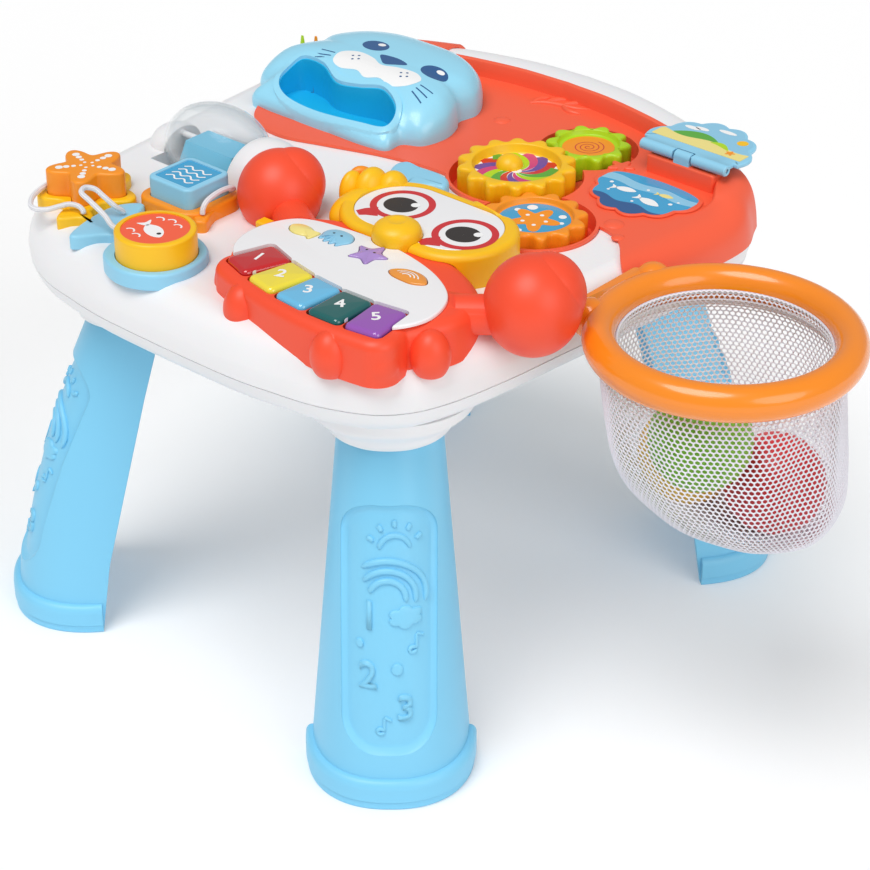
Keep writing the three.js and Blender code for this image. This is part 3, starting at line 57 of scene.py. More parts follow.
# The gap around parts that move
FIT = 0.6
# Over all that stands on the deck: where cutters end and marks start to fall
ABOVE = 420.0

CORAL, CRAB_RED, WHITE = "#FA6341", "#F9502E", "#F3F3F5"
YELLOW, ORANGE, LEG, PALE = "#FDC511", "#FB981C", "#82D0F3", "#9DE1FB"


# Numbers and outlines

def table_at(sx, sy):
    return np.array([sx * HALF, sy * (FRONT if sy < 0 else BACK)])


def ease(value, low, high):
    t = np.clip((value - low) / (high - low), 0, 1)
    return t * t * (3 - 2 * t)


def run_along(line):
    """The distance along a line at each of its points."""
    return np.concatenate([[0], np.cumsum(np.linalg.norm(np.diff(line, axis=0), axis=1))])


def spaced(line, count, closed):
    """Points at even steps of length along a line, by linear steps between its points."""
    loop = np.vstack([line, line[:1]]) if closed else line
    run = run_along(loop)
    at = np.linspace(0, run[-1], count, endpoint=not closed)
    return np.stack([np.interp(at, run, loop[:, k]) for k in range(loop.shape[1])], axis=1)


def spline(points, count, closed=True, power=0.5):
    """Catmull-Rom curve through points: knots are spaced by distance to the given power, and each
    span is a cubic mix of its four nearest points; then points at even steps of length."""
    p = np.asarray(points, float)
    if closed:
        ring = np.vstack([p[-1:], p, p[:2]])
    else:
        ring = np.vstack([2 * p[0] - p[1], p, 2 * p[-1] - p[-2]])
    a, b, c, d = ring[:-3], ring[1:-2], ring[2:-1], ring[3:]
    gap = lambda u, v: np.maximum(np.linalg.norm(v - u, axis=1), 1e-9)[:, None, None] ** power
    t1 = gap(a, b)
    t2 = t1 + gap(b, c)
    t3 = t2 + gap(c, d)
    s = np.linspace(0, 1, 24, endpoint=False)[None, :, None]
    t = t1 + (t2 - t1) * s
    a, b, c, d = (q[:, None, :] for q in (a, b, c, d))
    a1 = (t1 - t) / t1 * a + t / t1 * b
    a2 = (t2 - t) / (t2 - t1) * b + (t - t1) / (t2 - t1) * c
    a3 = (t3 - t) / (t3 - t2) * c + (t - t2) / (t3 - t2) * d
    b1 = (t2 - t) / t2 * a1 + t / t2 * a2
    b2 = (t3 - t) / (t3 - t1) * a2 + (t - t1) / (t3 - t1) * a3
    line = ((t2 - t) / (t2 - t1) * b1 + (t - t1) / (t2 - t1) * b2).reshape(-1, p.shape[1])
    if not closed:
        line = np.vstack([line, p[-1:]])
    out = spaced(line, count, closed)
    return counterclockwise(out) if closed and p.shape[1] == 2 else out


def counterclockwise(outline):
    x, y = outline[:, 0], outline[:, 1]
    area = np.sum(x * np.roll(y, -1) - y * np.roll(x, -1))
    return outline if area > 0 else outline[::-1]


def inset(outline, amount):
    """Each point moves along its inward normal, square to the line between its neighbours."""
    along = np.roll(outline, -1, axis=0) - np.roll(outline, 1, axis=0)
    along /= np.maximum(np.linalg.norm(along, axis=1, keepdims=True), 1e-9)
    size = np.broadcast_to(np.asarray(amount, float), (len(outline),))[:, None]
    return outline + np.stack([-along[:, 1], along[:, 0]], axis=1) * size


def unit(angle):
    """Points on the unit circle at angles in radians."""
    return np.stack([np.cos(angle), np.sin(angle)], axis=-1)


def circle(radius, count=96, centre=(0, 0)):
    return centre + radius * unit(np.linspace(0, 2 * np.pi, count, endpoint=False))


def arc(centre, radius, start, end, count=24, flat=1.0):
    return centre + np.array([radius, radius * flat]) * unit(np.radians(np.linspace(start, end, count)))


def rounded_box(half_x, half_y, corner, per_corner=12):
    a = np.radians(np.linspace(0, 90, per_corner + 1))
    corners = enumerate([(1, -1), (1, 1), (-1, 1), (-1, -1)])
    return np.vstack([[sx * (half_x - corner), sy * (half_y - corner)]
                      + corner * unit(a + np.radians(90 * (k - 1))) for k, (sx, sy) in corners])


def turned(outline, angle):
    c, s = math.cos(angle), math.sin(angle)
    return outline @ np.array([[c, s], [-s, c]])


def shaped(points, count, scale=1.0, place=(0, 0)):
    """A smooth closed outline through points that are given as shares of a scale around a place."""
    return spline(np.array(points) * scale, count) + place


def at_height(outline, height):
    z = np.broadcast_to(np.asarray(height, float), (len(outline),))
    return np.column_stack([outline, z])


def oval(centre, half_x, half_y, angle=0.0, count=72):
    return turned(circle(1, count) * [half_x, half_y], math.radians(angle)) + np.asarray(centre)


# Blender meshes from arrays

def add(name, data):
    ob = bpy.data.objects.new(name, data)
    bpy.context.collection.objects.link(ob)
    return ob


def shade(ob, angle=38):
    ob.data.shade_smooth()
    ob.data.set_sharp_from_angle(angle=math.radians(angle))


def build(name, verts, faces, smooth=38, place=None):
    """A mesh object from points in plan millimetres and lists of faces."""
    me = bpy.data.meshes.new(name)
    me.from_pydata(((np.asarray(verts) + SHIFT) / 1000).tolist(), [], faces)
    me.update()
    if place is not None:
        me.attributes.new("place", "FLOAT_VECTOR", "POINT").data.foreach_set(
            "vector", np.asarray(place, np.float32).ravel())
    ob = add(name, me)
    shade(ob, smooth)
    return ob


def loft(name, rings, smooth=38):
    """Rings of equal counts joined by quads, closed by a fan at both ends."""
    rings = np.stack(rings)
    count, n = rings.shape[:2]
    i = np.arange(n)
    j = (i + 1) % n
    r = np.arange(count - 1)[:, None] * n
    quads = np.stack([r + i, r + j, r + n + j, r + n + i], axis=-1).reshape(-1, 4)
    verts = np.vstack([rings.reshape(-1, 3), rings[0].mean(0), rings[-1].mean(0)])
    low, high, top = count * n, count * n + 1, (count - 1) * n
    first = np.stack([np.full(n, low), j, i], axis=1)
    last = np.stack([np.full(n, high), top + i, top + j], axis=1)
    return build(name, verts, quads.tolist() + first.tolist() + last.tolist(), smooth)


def grid(name, points, place=None, smooth=60):
    """An open sheet of quads over a rows by columns array of points."""
    rows, cols = points.shape[:2]
    r, c = np.meshgrid(np.arange(rows - 1), np.arange(cols - 1), indexing="ij")
    a = (r * cols + c).ravel()
    faces = np.stack([a, a + 1, a + cols + 1, a + cols], axis=1).tolist()
    return build(name, points.reshape(-1, 3), faces, smooth,
                 None if place is None else place.reshape(-1, 3))


def ellipsoid(name, centre, radii, wide=64, tall=40):
    """Unit sphere by polar angles, scaled along each axis."""
    v = np.linspace(0, np.pi, tall + 1)[1:-1, None]
    u = np.linspace(0, 2 * np.pi, wide, endpoint=False)[None, :]
    p = np.stack([np.sin(v) * np.cos(u), np.sin(v) * np.sin(u), -np.cos(v) * np.ones_like(u)], axis=-1)
    return loft(name, list(p * np.asarray(radii, float) + np.asarray(centre, float)))


def pillow(name, outline, low, high, rounding, steps=8, smooth=38, extra=()):
    """Walls up from the outline, then a quarter round into the flat top."""
    rings = [at_height(outline, low)]
    rings += [at_height(inset(outline, rounding * (1 - math.cos(t))), high - rounding * (1 - math.sin(t)))
              for t in np.radians(np.linspace(0, 90, steps + 1))]
    return loft(name, rings + list(extra), smooth)


def crown(line, edge, height, rise, shares):
    """Rings inside an outline that close a cap by a shallow crown."""
    centre = line.mean(0)
    return [at_height(centre + (inset(line, edge) - centre) * s, height + rise * (1 - s * s))
            for s in shares]


def prism(name, outline, low, high):
    return loft(name, [at_height(outline, low), at_height(outline, high)])


def cutter(outline, low, high=ABOVE):
    return prism("tool", outline, low, high)


def tube(name, line, radius, sides=16):
    """Circles square to a line, their sides kept level where they can be; place holds the turn around
    it and the distance along it in mm."""
    along = np.gradient(line, axis=0)
    along /= np.linalg.norm(along, axis=1, keepdims=True)
    side = np.cross(along, [0.0, 0.0, 1.0]) + [1e-4, 0, 0]
    side /= np.linalg.norm(side, axis=1, keepdims=True)
    up = np.cross(side, along)
    a = np.linspace(0, 2 * np.pi, sides + 1)
    around = np.cos(a)[None, :, None] * side[:, None] + np.sin(a)[None, :, None] * up[:, None]
    reach = np.broadcast_to(np.asarray(radius, float), (len(line),))[:, None, None]
    place = np.stack(np.broadcast_arrays(a[None, :] / (2 * np.pi), run_along(line)[:, None], 0.0), axis=-1)
    return grid(name, line[:, None] + reach * around, place)


def lathe(name, profile, centre, axis, count, smooth=38):
    """A profile of radius and height, turned about an axis through centre."""
    a = np.linspace(0, 2 * np.pi, count + 1)
    r, h = profile[:, :1], profile[:, 1:]
    x, y, z = r * np.cos(a), r * np.sin(a), h * np.ones_like(a)
    return grid(name, np.stack([x, y, z] if axis == "z" else [z, x, y], axis=-1) + centre, smooth=smooth)


def lathe_solid(name, profile, a, b, count=96):
    """A closed turned body from a to b; the profile holds radii and shares of the way along."""
    a, b = np.asarray(a, float), np.asarray(b, float)
    along = (b - a) / np.linalg.norm(b - a)
    side = np.cross(along, [0.0, 0.0, 1.0]) if abs(along[2]) < 0.9 else np.array([1.0, 0.0, 0.0])
    side /= np.linalg.norm(side)
    up = np.cross(along, side)
    t = np.linspace(0, 2 * np.pi, count, endpoint=False)[:, None]
    return loft(name, [a + (b - a) * share + radius * (np.cos(t) * side + np.sin(t) * up)
                       for radius, share in profile])


def rod(name, a, b, radius):
    return lathe_solid(name, [[radius, 0], [radius, 1]], a, b)


def evaluated(ob):
    """A new mesh of what an object shows with its modifiers."""
    bpy.context.view_layer.update()
    return bpy.data.meshes.new_from_object(ob.evaluated_get(bpy.context.evaluated_depsgraph_get()))


def apply(ob):
    done = evaluated(ob)
    ob.modifiers.clear()
    ob.data = done
    return ob


def modified(ob, kind, **values):
    """Puts one modifier on a mesh and applies it."""
    mod = ob.modifiers.new(kind.lower(), kind)
    for key, value in values.items():
        setattr(mod, key, value)
    return apply(ob)


def carve(ob, tools, operation="DIFFERENCE", angle=38):
    """Cuts, joins or meets ob with closed tools, which are then removed."""
    for tool in tools:
        mod = ob.modifiers.new("carve", "BOOLEAN")
        mod.operation, mod.solver, mod.object = operation, "MANIFOLD", tool
    apply(ob)
    for tool in tools:
        bpy.data.objects.remove(tool)
    shade(ob, angle)
    return ob


def merge(name, parts):
    """One object from several, which are then removed."""
    if len(parts) > 1:
        with bpy.context.temp_override(active_object=parts[0], selected_editable_objects=parts):
            bpy.ops.object.join()
    parts[0].name = name
    parts[0].data.name = name
    return parts[0]


def reshape(ob, function):
    """Moves a mesh's points by a function of their array in millimetres, into the scene's frame."""
    points = np.empty(len(ob.data.vertices) * 3)
    ob.data.vertices.foreach_get("co", points)
    ob.data.vertices.foreach_set("co", ((function(points.reshape(-1, 3)) + SHIFT) / 1000).ravel())
    ob.data.update()
    return ob


def moved(ob, by):
    """Moves a mesh that is in the scene's frame, by millimetres."""
    return reshape(ob, lambda p: p * 1000 - SHIFT + by)


# Materials

def colour(text):
    """sRGB hex to linear RGBA."""
    c = np.array([int(text[i:i + 2], 16) / 255 for i in (1, 3, 5)])
    lin = np.where(c <= 0.04045, c / 12.92, ((c + 0.055) / 1.055) ** 2.4)
    return (*lin.tolist(), 1.0)


def fill(n, **values):
    """Values go to a node's sockets or properties of that name; a value that is a socket is linked."""
    for key, value in values.items():
        name = key.replace("_", " ")
        if isinstance(value, bpy.types.NodeSocket):
            n.id_data.links.new(value, n.inputs[name])
        elif name in n.inputs:
            n.inputs[name].default_value = value
        else:
            setattr(n, key, value)
    return n


def node(tree, kind, numbered=(), **values):
    """Adds a shader node; numbered holds values or links for sockets that share a name."""
    n = fill(tree.nodes.new("ShaderNode" + kind), **values)
    for number, value in dict(numbered).items():
        if isinstance(value, bpy.types.NodeSocket):
            tree.links.new(value, n.inputs[number])
        else:
            n.inputs[number].default_value = value
    return n


def material(name):
    m = bpy.data.materials.new(name)
    m.use_nodes = True
    return m, m.node_tree, next(n for n in m.node_tree.nodes if n.type == "BSDF_PRINCIPLED")


def noise(tree, scale, detail=2.0, stretch=(1.0, 1.0, 1.0)):
    """Even noise over the object's own coordinates."""
    where = node(tree, "TexCoord").outputs["Object"]
    if stretch != (1.0, 1.0, 1.0):
        where = node(tree, "Mapping", Vector=where, Scale=stretch).outputs["Vector"]
    return node(tree, "TexNoise", Vector=where, Scale=scale, Detail=detail).outputs["Fac"]


def between(tree, value, low, high, **values):
    return node(tree, "MapRange", Value=value, To_Min=low, To_Max=high, **values).outputs["Result"]


def bump(tree, height, strength, distance=0.0005, **values):
    made = node(tree, "Bump", Height=height, Strength=strength, Distance=distance, **values)
    return made.outputs["Normal"]


def plastic(name, hexa, rough, coat=0.0, scatter=0.0, bevel=0.0, grain=0.02):
    """Moulded plastic: one colour, a faint fine grain in gloss and surface."""
    m, tree, shader = material(name)
    soft = {"Normal": node(tree, "Bevel", samples=4, Radius=bevel).outputs["Normal"]} if bevel else {}
    fill(shader, Base_Color=colour(hexa), Coat_Weight=coat, Coat_Roughness=0.08,
         Subsurface_Weight=scatter, Subsurface_Scale=0.004,
         Roughness=between(tree, noise(tree, 14.0, 3.0), rough - 0.04, rough + 0.05),
         Normal=bump(tree, noise(tree, 900.0), grain, **soft))
    return m


def steel():
    """Zinc-plated steel with a fine brushed grain along x."""
    m, tree, shader = material("steel")
    grain = noise(tree, 1.0, stretch=(60.0, 1400.0, 1400.0))
    fill(shader, Base_Color=colour("#B8BCC0"), Metallic=1.0, Roughness=between(tree, grain, 0.22, 0.4))
    return m


def clear_plastic():
    """Clear polystyrene: a thin polished wall that shows most where it is seen at a slant."""
    m, tree, shader = material("clear_plastic")
    slant = node(tree, "LayerWeight", Blend=0.45).outputs["Facing"]
    fill(shader, Base_Color=colour("#E6EEF2"), Coat_Weight=1.0, Coat_Roughness=0.03,
         Roughness=between(tree, noise(tree, 30.0), 0.02, 0.07),
         Alpha=between(tree, slant, 0.08, 0.7, From_Min=0.3))
    return m


def braid():
    """Braided polyester: two families of strands that cross around the cord; the hollows between them are
    painted greyer as shade, and the same pattern bumps the surface.
    """
    m, tree, shader = material("cord_braid")
    strands, lay = 4, 1.7
    place = node(tree, "Attribute", attribute_name="place").outputs["Vector"]
    split = node(tree, "SeparateXYZ", Vector=place).outputs
    waves = []
    for side in (1, -1):
        turn = node(tree, "Math", {0: split["X"], 1: side * 6.2832 * strands}, operation="MULTIPLY")
        run = node(tree, "Math", {0: split["Y"], 1: 6.2832 / lay, 2: turn.outputs[0]},
                   operation="MULTIPLY_ADD")
        waves.append(node(tree, "Math", {0: run.outputs[0]}, operation="SINE").outputs[0])
    height = node(tree, "Math", dict(enumerate(waves)), operation="MULTIPLY").outputs[0]
    # Painted shade: the colour turns greyer where the braid's height is low, in the hollows between strands
    painted_braid_shade = between(tree, height, 0.0, 1.0, From_Min=-1.0)
    mix = node(tree, "Mix", {6: colour("#DCDCE6"), 7: colour("#FFFFFF")}, data_type="RGBA", Factor=painted_braid_shade)
    fill(shader, Base_Color=mix.outputs[2], Roughness=0.8, Normal=bump(tree, height, 0.6, 0.0004))
    return m


def paper():
    """Matt white paper; its even glow keeps the ground near white and leaves the object's shadow."""
    m, tree, shader = material("floor_paper")
    fill(shader, Base_Color=colour("#F4F4F4"), Roughness=0.9, Emission_Color=(1.0, 1.0, 1.0, 1.0),
         Emission_Strength=0.12, Normal=bump(tree, noise(tree, 60.0), 0.01))
    return m


# Colours by finish: roughness, coat, scatter, bevel radius in metres and grain
FINISHES = [
    # ABS with a satin finish
    ((0.38, 0.0, 0.04, 0.0006), {"white_plastic": WHITE}),
    ((0.42, 0.0, 0.0, 0.0008), {"leg_blue": LEG}),
    ((0.4, 0.0, 0.0, 0.0006), {"coral_plastic": CORAL}),
    ((0.42,), {"crab_plastic": CRAB_RED}),
    ((0.3, 0.25), {"pale_blue_plastic": PALE}),
    ((0.25, 0.4), {"white_gloss": "#F6F6F8", "bead_red": "#D8121F"}),
    ((0.38, 0.0, 0.03), {"yellow_plastic": YELLOW, "orange_plastic": ORANGE, "lime_plastic": "#B4DC14"}),
    ((0.38,), {"sky_blue_plastic": "#93D3F0", "pink_plastic": "#D94A8C"}),
    ((0.34,), {"mouth_blue": "#18B6E6"}),
    ((0.24, 0.5), {"hoop_orange": "#FC8F1A"}),
    ((0.2, 0.5), {"paddle_blue": "#5CCBF2"}),
    # Polished keys
    ((0.12, 0.9), {"key_red": "#C9131C", "key_yellow": "#F7E23C", "key_blue": "#6CC0EA",
                   "key_teal": "#08605F", "key_purple": "#9A55B8"}),
    # Buttons, and inks under a thick varnish
    ((0.3, 0.3), {"button_cream": "#F6E58A", "button_blue": "#8FCDEB", "button_lilac": "#B08FD2",
                  "button_orange": "#F09A3C", "ink_dark": "#231A18", "ink_red": "#D3202A"}),
    ((0.22, 0.5), {"print_blue": "#35A6D8"}),
    # Printing inks
    ((0.35,), {"ink_green": "#5BAE3C", "ink_magenta": "#D2407F", "ink_violet": "#6A4AA5",
               "ink_navy": "#2C5C93", "ink_white": "#FAFAFA"}),
    # Play balls of soft polyethylene
    ((0.42, 0.0, 0.1), {"ball_green": "#8CCB3F", "ball_red": "#D9343D", "ball_yellow": "#F6C64A"}),
    # Knitted polyester, rubber pads, board and speaker
    ((0.7, 0.0, 0.0, 0.0, 0.2), {"net_white": "#EEEDF5"}),
    ((0.7,), {"pad_rubber": "#D8D8D4"}),
    ((0.5,), {"board_green": "#1E7A3C"}),
    ((0.6,), {"speaker_black": "#2A2A2C"})]
MATS = {name: plastic(name, hexa, *finish) for finish, inks in FINISHES for name, hexa in inks.items()}
MATS.update(steel=steel(), clear_drum=clear_plastic(), cord_white=braid())


def finish_piece(ob, slot_name, node_name=None, body="base", ink=None):
    """Gives a piece its material and body, and hides the solid that it stands for."""
    ob.data.materials.clear()
    ob.data.materials.append(MATS[ink or slot_name])
    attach(ob, body)
    if node_name:
        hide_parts(node_name)
    return ob


# Camera, fitted to the photograph: its place in plan millimetres, looking down by 31.2 degrees
CAMERA_AT = (np.array([1133.7, -1243.2, 1145.5]) + SHIFT) / 1000
LOOK_DOWN, LOOK_SIDE = math.radians(31.2), math.radians(41.3)
view = bpy.data.cameras.new("camera")
view.lens, view.sensor_width = 100.9, 36.0
view.clip_end = 50
camera = add("camera", view)
camera.location = CAMERA_AT.tolist()
camera.rotation_euler = (math.pi / 2 - LOOK_DOWN, 0, LOOK_SIDE)
bpy.context.scene.camera = camera


# Cords: routes from each block's side to its tray, as shares of the block's radius and height
BLOCK_SIZE = {"star": 31.0, "square": 22.5, "round": 29.5}
PLACES = {"star": table_at(-0.655, -0.695), "square": table_at(-0.366, -0.535),
          "round": table_at(-0.164, -0.855)}
BLOCK_HIGH, CORD_THICK = 25.0, 4.0
CORD_ROUTES = {
    "star": [
        [-0.62, -0.2, 0.6], [-0.75, -0.3, 0.58], [-0.76, -0.56, 0.48], [-0.62, -1.04, 0.48],
        [-0.43, -1.42, 0.48], [-0.17, -1.68, 0.44], [0.01, -1.7, 0.42], [0.24, -1.55, 0.42],
        [0.38, -1.32, 0.46], [0.56, -1.11, 0.52], [0.79, -1.02, 0.5], [0.93, -1.02, 0.42],
        [0.96, -1.03, 0.31]],
    "square": [
        [1.03, 0.78, 0.58], [1.14, 0.9, 0.64], [1.2, 0.75, 0.74], [1.22, 0.35, 0.8],
        [1.32, -0.27, 0.8], [1.37, -0.6, 0.72], [1.39, -0.74, 0.58], [1.4, -0.78, 0.41]],
    "round": [
        [-1.02, 0.02, 0.6], [-1.41, -0.1, 0.64], [-1.77, -0.05, 0.84], [-2.31, -0.02, 1.08],
        [-2.67, 0.03, 1.2], [-2.81, 0.28, 1.2], [-2.68, 0.47, 1.12], [-2.43, 0.55, 0.92],
        [-2.22, 0.69, 0.64], [-2.17, 0.85, 0.46], [-2.17, 0.92, 0.34]]}
for name, route in CORD_ROUTES.items():
    shares = np.array(route)
    plan = PLACES[name] + shares[:, :2] * BLOCK_SIZE[name]
    line = spline(at_height(plan, DECK + shares[:, 2] * BLOCK_HIGH), 160, closed=False)
    thick = np.full(len(line), CORD_THICK / 2)
    thick[[1, -2]] *= 0.8
    thick[[0, -1]] *= 0.05
    piece = finish_piece(tube("cord_" + name, line, thick), "cord_white", name + "_cord")


# Table housing

TABLE_SHARES = np.array([
    [0, -1], [0.275, -0.995], [0.445, -0.975], [0.583, -0.95], [0.71, -0.9], [0.779, -0.85],
    [0.837, -0.77], [0.879, -0.64], [0.909, -0.46], [0.929, -0.26], [0.954, -0.02], [0.975, 0.22],
    [0.992, 0.42], [0.985, 0.53], [0.945, 0.61], [0.901, 0.69], [0.826, 0.755], [0.721, 0.82],
    [0.583, 0.882], [0.424, 0.938], [0.212, 0.985], [0, 1]])
right = TABLE_SHARES * [[HALF, FRONT if y < 0 else BACK] for y in TABLE_SHARES[:, 1]]
right = spline(right, 161, closed=False, power=0.0)
OUTLINE = np.vstack([right, right[1:-1][::-1] * [-1, 1]])
RISE = ease(OUTLINE[:, 1] / BACK, 0.42, 0.72)
BAND = RIM * (1 + 0.8 * RISE * (1 - (OUTLINE[:, 0] / HALF) ** 2))
FLANK = spline([[0, 0, 0], [0.08, 0.4, 0.35], [0.26, 0.72, 0.8], [0.56, 0.93, 1.0], [0.86, 1.0, 1.0]],
               14, False)
FLANK[:, 1:] = np.clip(FLANK[:, 1:], 0, 1)


def table_rings(grow):
    """Rings up the flank by shares of the rim's width and height, then over the crest of the arch
    and down its inner step to the deck."""
    rings = [at_height(inset(OUTLINE, 0.05 * RIM - grow), SEAM + 0.2)]
    for share, height, rise in FLANK:
        z = BULGE + (DECK - BULGE) * height + ARCH * rise * RISE + grow * height
        rings.append(at_height(inset(OUTLINE, share * RIM - grow), z))
    crest, foot = BAND - ARCH_STEP + grow, BAND + grow
    for t in (0.0, 0.3, 0.6, 0.85, 1.0):
        z = DECK + ARCH * RISE * (1 - t ** 3) + grow
        rings.append(at_height(inset(OUTLINE, crest + (foot - crest) * t), z))
    return rings


def table_block(name, grow, low=UNDER):
    rings = table_rings(grow)
    foot = rings[0].copy()
    foot[:, 2] = low
    return loft(name, [foot, *rings])


# Gears: teeth, heights of wheels and depths of dishes; the green and the orange one touch the yellow
# one at these bearings
GEAR_TEETH = {"yellow": 14, "green": 10, "orange": 12}
GEAR_TOP = {"yellow": 25.0, "green": 20.0, "orange": 20.0}
GEAR_DISH = {"yellow": 7.5, "green": 4.5, "orange": 4.5}
GEAR_BEARING = {"green": 81, "orange": -41}
PITCH = {name: 6.2 * count / 2 for name, count in GEAR_TEETH.items()}
TOOTH = 3.2
GEAR_AT = {"yellow": table_at(0.272, 0.27)}
for name, angle in GEAR_BEARING.items():
    GEAR_AT[name] = GEAR_AT["yellow"] + (PITCH["yellow"] + PITCH[name]) * unit(math.radians(angle))
WELL_FLOOR = DECK - 12


def wells(grow, low, high=ABOVE):
    """Round pits for the gears, as separate closed tools."""
    return [cutter(circle(PITCH[n] + TOOTH + 5 + grow, 120, GEAR_AT[n]), low + k * 0.01, high + k * 0.01)
            for k, n in enumerate(GEAR_TEETH)]


DRUM = np.array([*table_at(-0.562, -0.23), DECK + 10])
DRUM_R, DRUM_L = 34.0, 78.0
top = table_block("housing_top", 0.0, SEAM + 0.2)
# Two humps carry the drum: side, reach beyond it, and length, width and height
humps = [ellipsoid("hump", [DRUM[0] + s * (DRUM_L / 2 + reach), DRUM[1], DECK],
                   [long, DRUM_R * wide, DRUM_R * tall])
         for s, reach, long, wide, tall in ((-1, 8, 20, 0.62, 0.46), (1, 10.5, 30, 1.02, 0.86))]
carve(top, humps, "UNION")
half_room = np.array([DRUM_L / 2 + GAP * 4, 0, 0])
carve(top, wells(PANEL + GAP, SEAM - 5) + [rod("tool", DRUM - half_room, DRUM + half_room, DRUM_R + 2)])
finish_piece(top, "white_plastic", "top_shell")

UNDER_ROWS = spline([[2.1, 0.0], [1.2, 0.03], [0.66, 0.14], [0.24, 0.45], [0.05, 0.98]], 16, False)
bottom = loft("housing_bottom", [
    at_height(inset(OUTLINE, share * RIM), UNDER + (SEAM - UNDER) * max(height, 0))
    for share, height in UNDER_ROWS] + [at_height(inset(OUTLINE, 0.05 * RIM + 0.8), SEAM - GAP)])


# Legs

OUTER = np.array([
    [0, 0.99], [0.14, 0.975], [0.3, 0.947], [0.5, 0.896], [0.7, 0.828], [0.78, 0.795], [1, 0.71]])
INNER = np.array([[0, 0.775], [0.2, 0.748], [0.7, 0.632], [1, 0.555]])
REACH, COLLAR, LEG_TOP = 315.0, 259.0, 289.0
LEG_FOOT, LEG_HEAD, FLANGE = 60, 35, 63.5
SQUARED, LEG_BEARING = 2 / 2.3, 49
RECESS = 4.0
RECESS_AT, RECESS_SIZE = np.array([0, 132]), (34.5, 89, 26)


def leg_ring(height, grow, flange=False, edge=0.0, count=73):
    """A squared half oval in plan, its open side towards the table's middle; edge carries its ends
    inwards."""
    share = max(height, 0) / UNDER
    half_wide = FLANGE if flange else LEG_FOOT + (LEG_HEAD - LEG_FOOT) * share
    reach = REACH if flange else REACH * np.interp(share, *OUTER.T)
    back = REACH * np.interp(0 if flange else share, *INNER.T)
    c, s = unit(np.linspace(0, np.pi, count)).T
    x = (half_wide + grow) * np.sign(c) * np.abs(c) ** SQUARED
    y = back + (reach - back + grow) * np.abs(s) ** SQUARED
    ring = np.stack([x, y], axis=1)
    if edge:
        ring = np.vstack([ring, [ring[-1] - [0, edge]], [ring[0] - [0, edge]]])
    return at_height(ring, height)


def leg_turn(sx, sy):
    return math.radians(-sx * (90 - math.copysign(LEG_BEARING, sy)))


def turn_rings(rings, angle):
    c, s = math.cos(angle), math.sin(angle)
    return [r @ np.array([[c, s, 0], [-s, c, 0], [0, 0, 1]]) for r in rings]


LEG_PLACES = {"front_left": (-1, -1), "front_right": (1, -1), "rear_left": (-1, 1), "rear_right": (1, 1)}
# Flared sockets: shares of their height and reach
SOCKET = spline([[0, 0], [0.06, 0.2], [0.4, 0.46], [0.75, 0.85], [1.1, 1.0]], 12, False)
skirts = []
for sx, sy in LEG_PLACES.values():
    deep = UNDER - COLLAR
    rings = [leg_ring(COLLAR + h * deep, 3 + g * deep * 1.15) for h, g in SOCKET]
    skirts.append(loft("skirt", turn_rings(rings, leg_turn(sx, sy))))
for skirt in skirts:
    carve(skirt, [cutter(inset(OUTLINE, RIM * 0.12), COLLAR - 5, SEAM - 1)], "INTERSECT")
bottom = merge("housing_bottom", [bottom, *skirts])
shade(bottom, 50)
finish_piece(bottom, "white_plastic", "bottom_shell")


def leg_skin(x, z, grow):
    """How far the leg's outer skin reaches over its own x and z."""
    share = np.clip(z, 0, UNDER) / UNDER
    half_wide = LEG_FOOT + (LEG_HEAD - LEG_FOOT) * share + grow
    reach = REACH * np.interp(share, *OUTER.T)
    back = REACH * np.interp(share, *INNER.T)
    c = np.clip(np.abs(x) / half_wide, 0, 0.999) ** 1.15
    return back + (reach - back + grow) * np.sqrt(1 - c ** 2) ** SQUARED


def skin_ring(outline, grow):
    """An outline over the leg's own x and z, laid on its outer skin."""
    return np.column_stack([outline[:, 0], leg_skin(outline[:, 0], outline[:, 1], grow), outline[:, 1]])


def leg(name, sx, sy):
    """Outer skin, foot flange, a framed recess on the outer face, and the open channel inside."""
    angle = leg_turn(sx, sy)
    body = loft("leg_" + name + "_shell",
                turn_rings([leg_ring(h, 0) for h in np.linspace(0, LEG_TOP, 60)], angle), 50)
    foot = [leg_ring(h, grow, True) for h, grow in ((0, -1.4), (0.33, -1.0), (6.6, -1.0), (6.7, 0))]
    foot += [leg_ring(17 + 7 * math.sin(t), -5 * (1 - math.cos(t)), True)
             for t in np.radians(np.linspace(0, 90, 7))]
    flange = loft("flange", turn_rings(foot, angle), 30)
    border = spaced(rounded_box(*RECESS_SIZE, 16), 200, True) + RECESS_AT
    rings = [np.insert(border, 1, 400, axis=1), skin_ring(border, 3)]
    rings += [skin_ring(inset(border, 5 * t), 0.2 - (RECESS + 0.2) * t ** 0.7)
              for t in np.linspace(0, 1, 9)]
    rings += [skin_ring(RECESS_AT + (inset(border, 5) - RECESS_AT) * t, -RECESS)
              for t in (0.97, 0.85, 0.65, 0.45, 0.25, 0.03)]
    recess = loft("tool", turn_rings(rings, angle))
    inside = [leg_ring(h, -5, edge=105.0) for h in np.linspace(-2, LEG_TOP - 5, 40)]
    carve(body, [flange], "UNION", 50)
    carve(body, [recess, loft("tool", turn_rings(inside, angle))], "DIFFERENCE", 50)
    finish_piece(body, "leg_blue", "leg_" + name)


for name, (sx, sy) in LEG_PLACES.items():
    leg(name, sx, sy)


# Coral panel

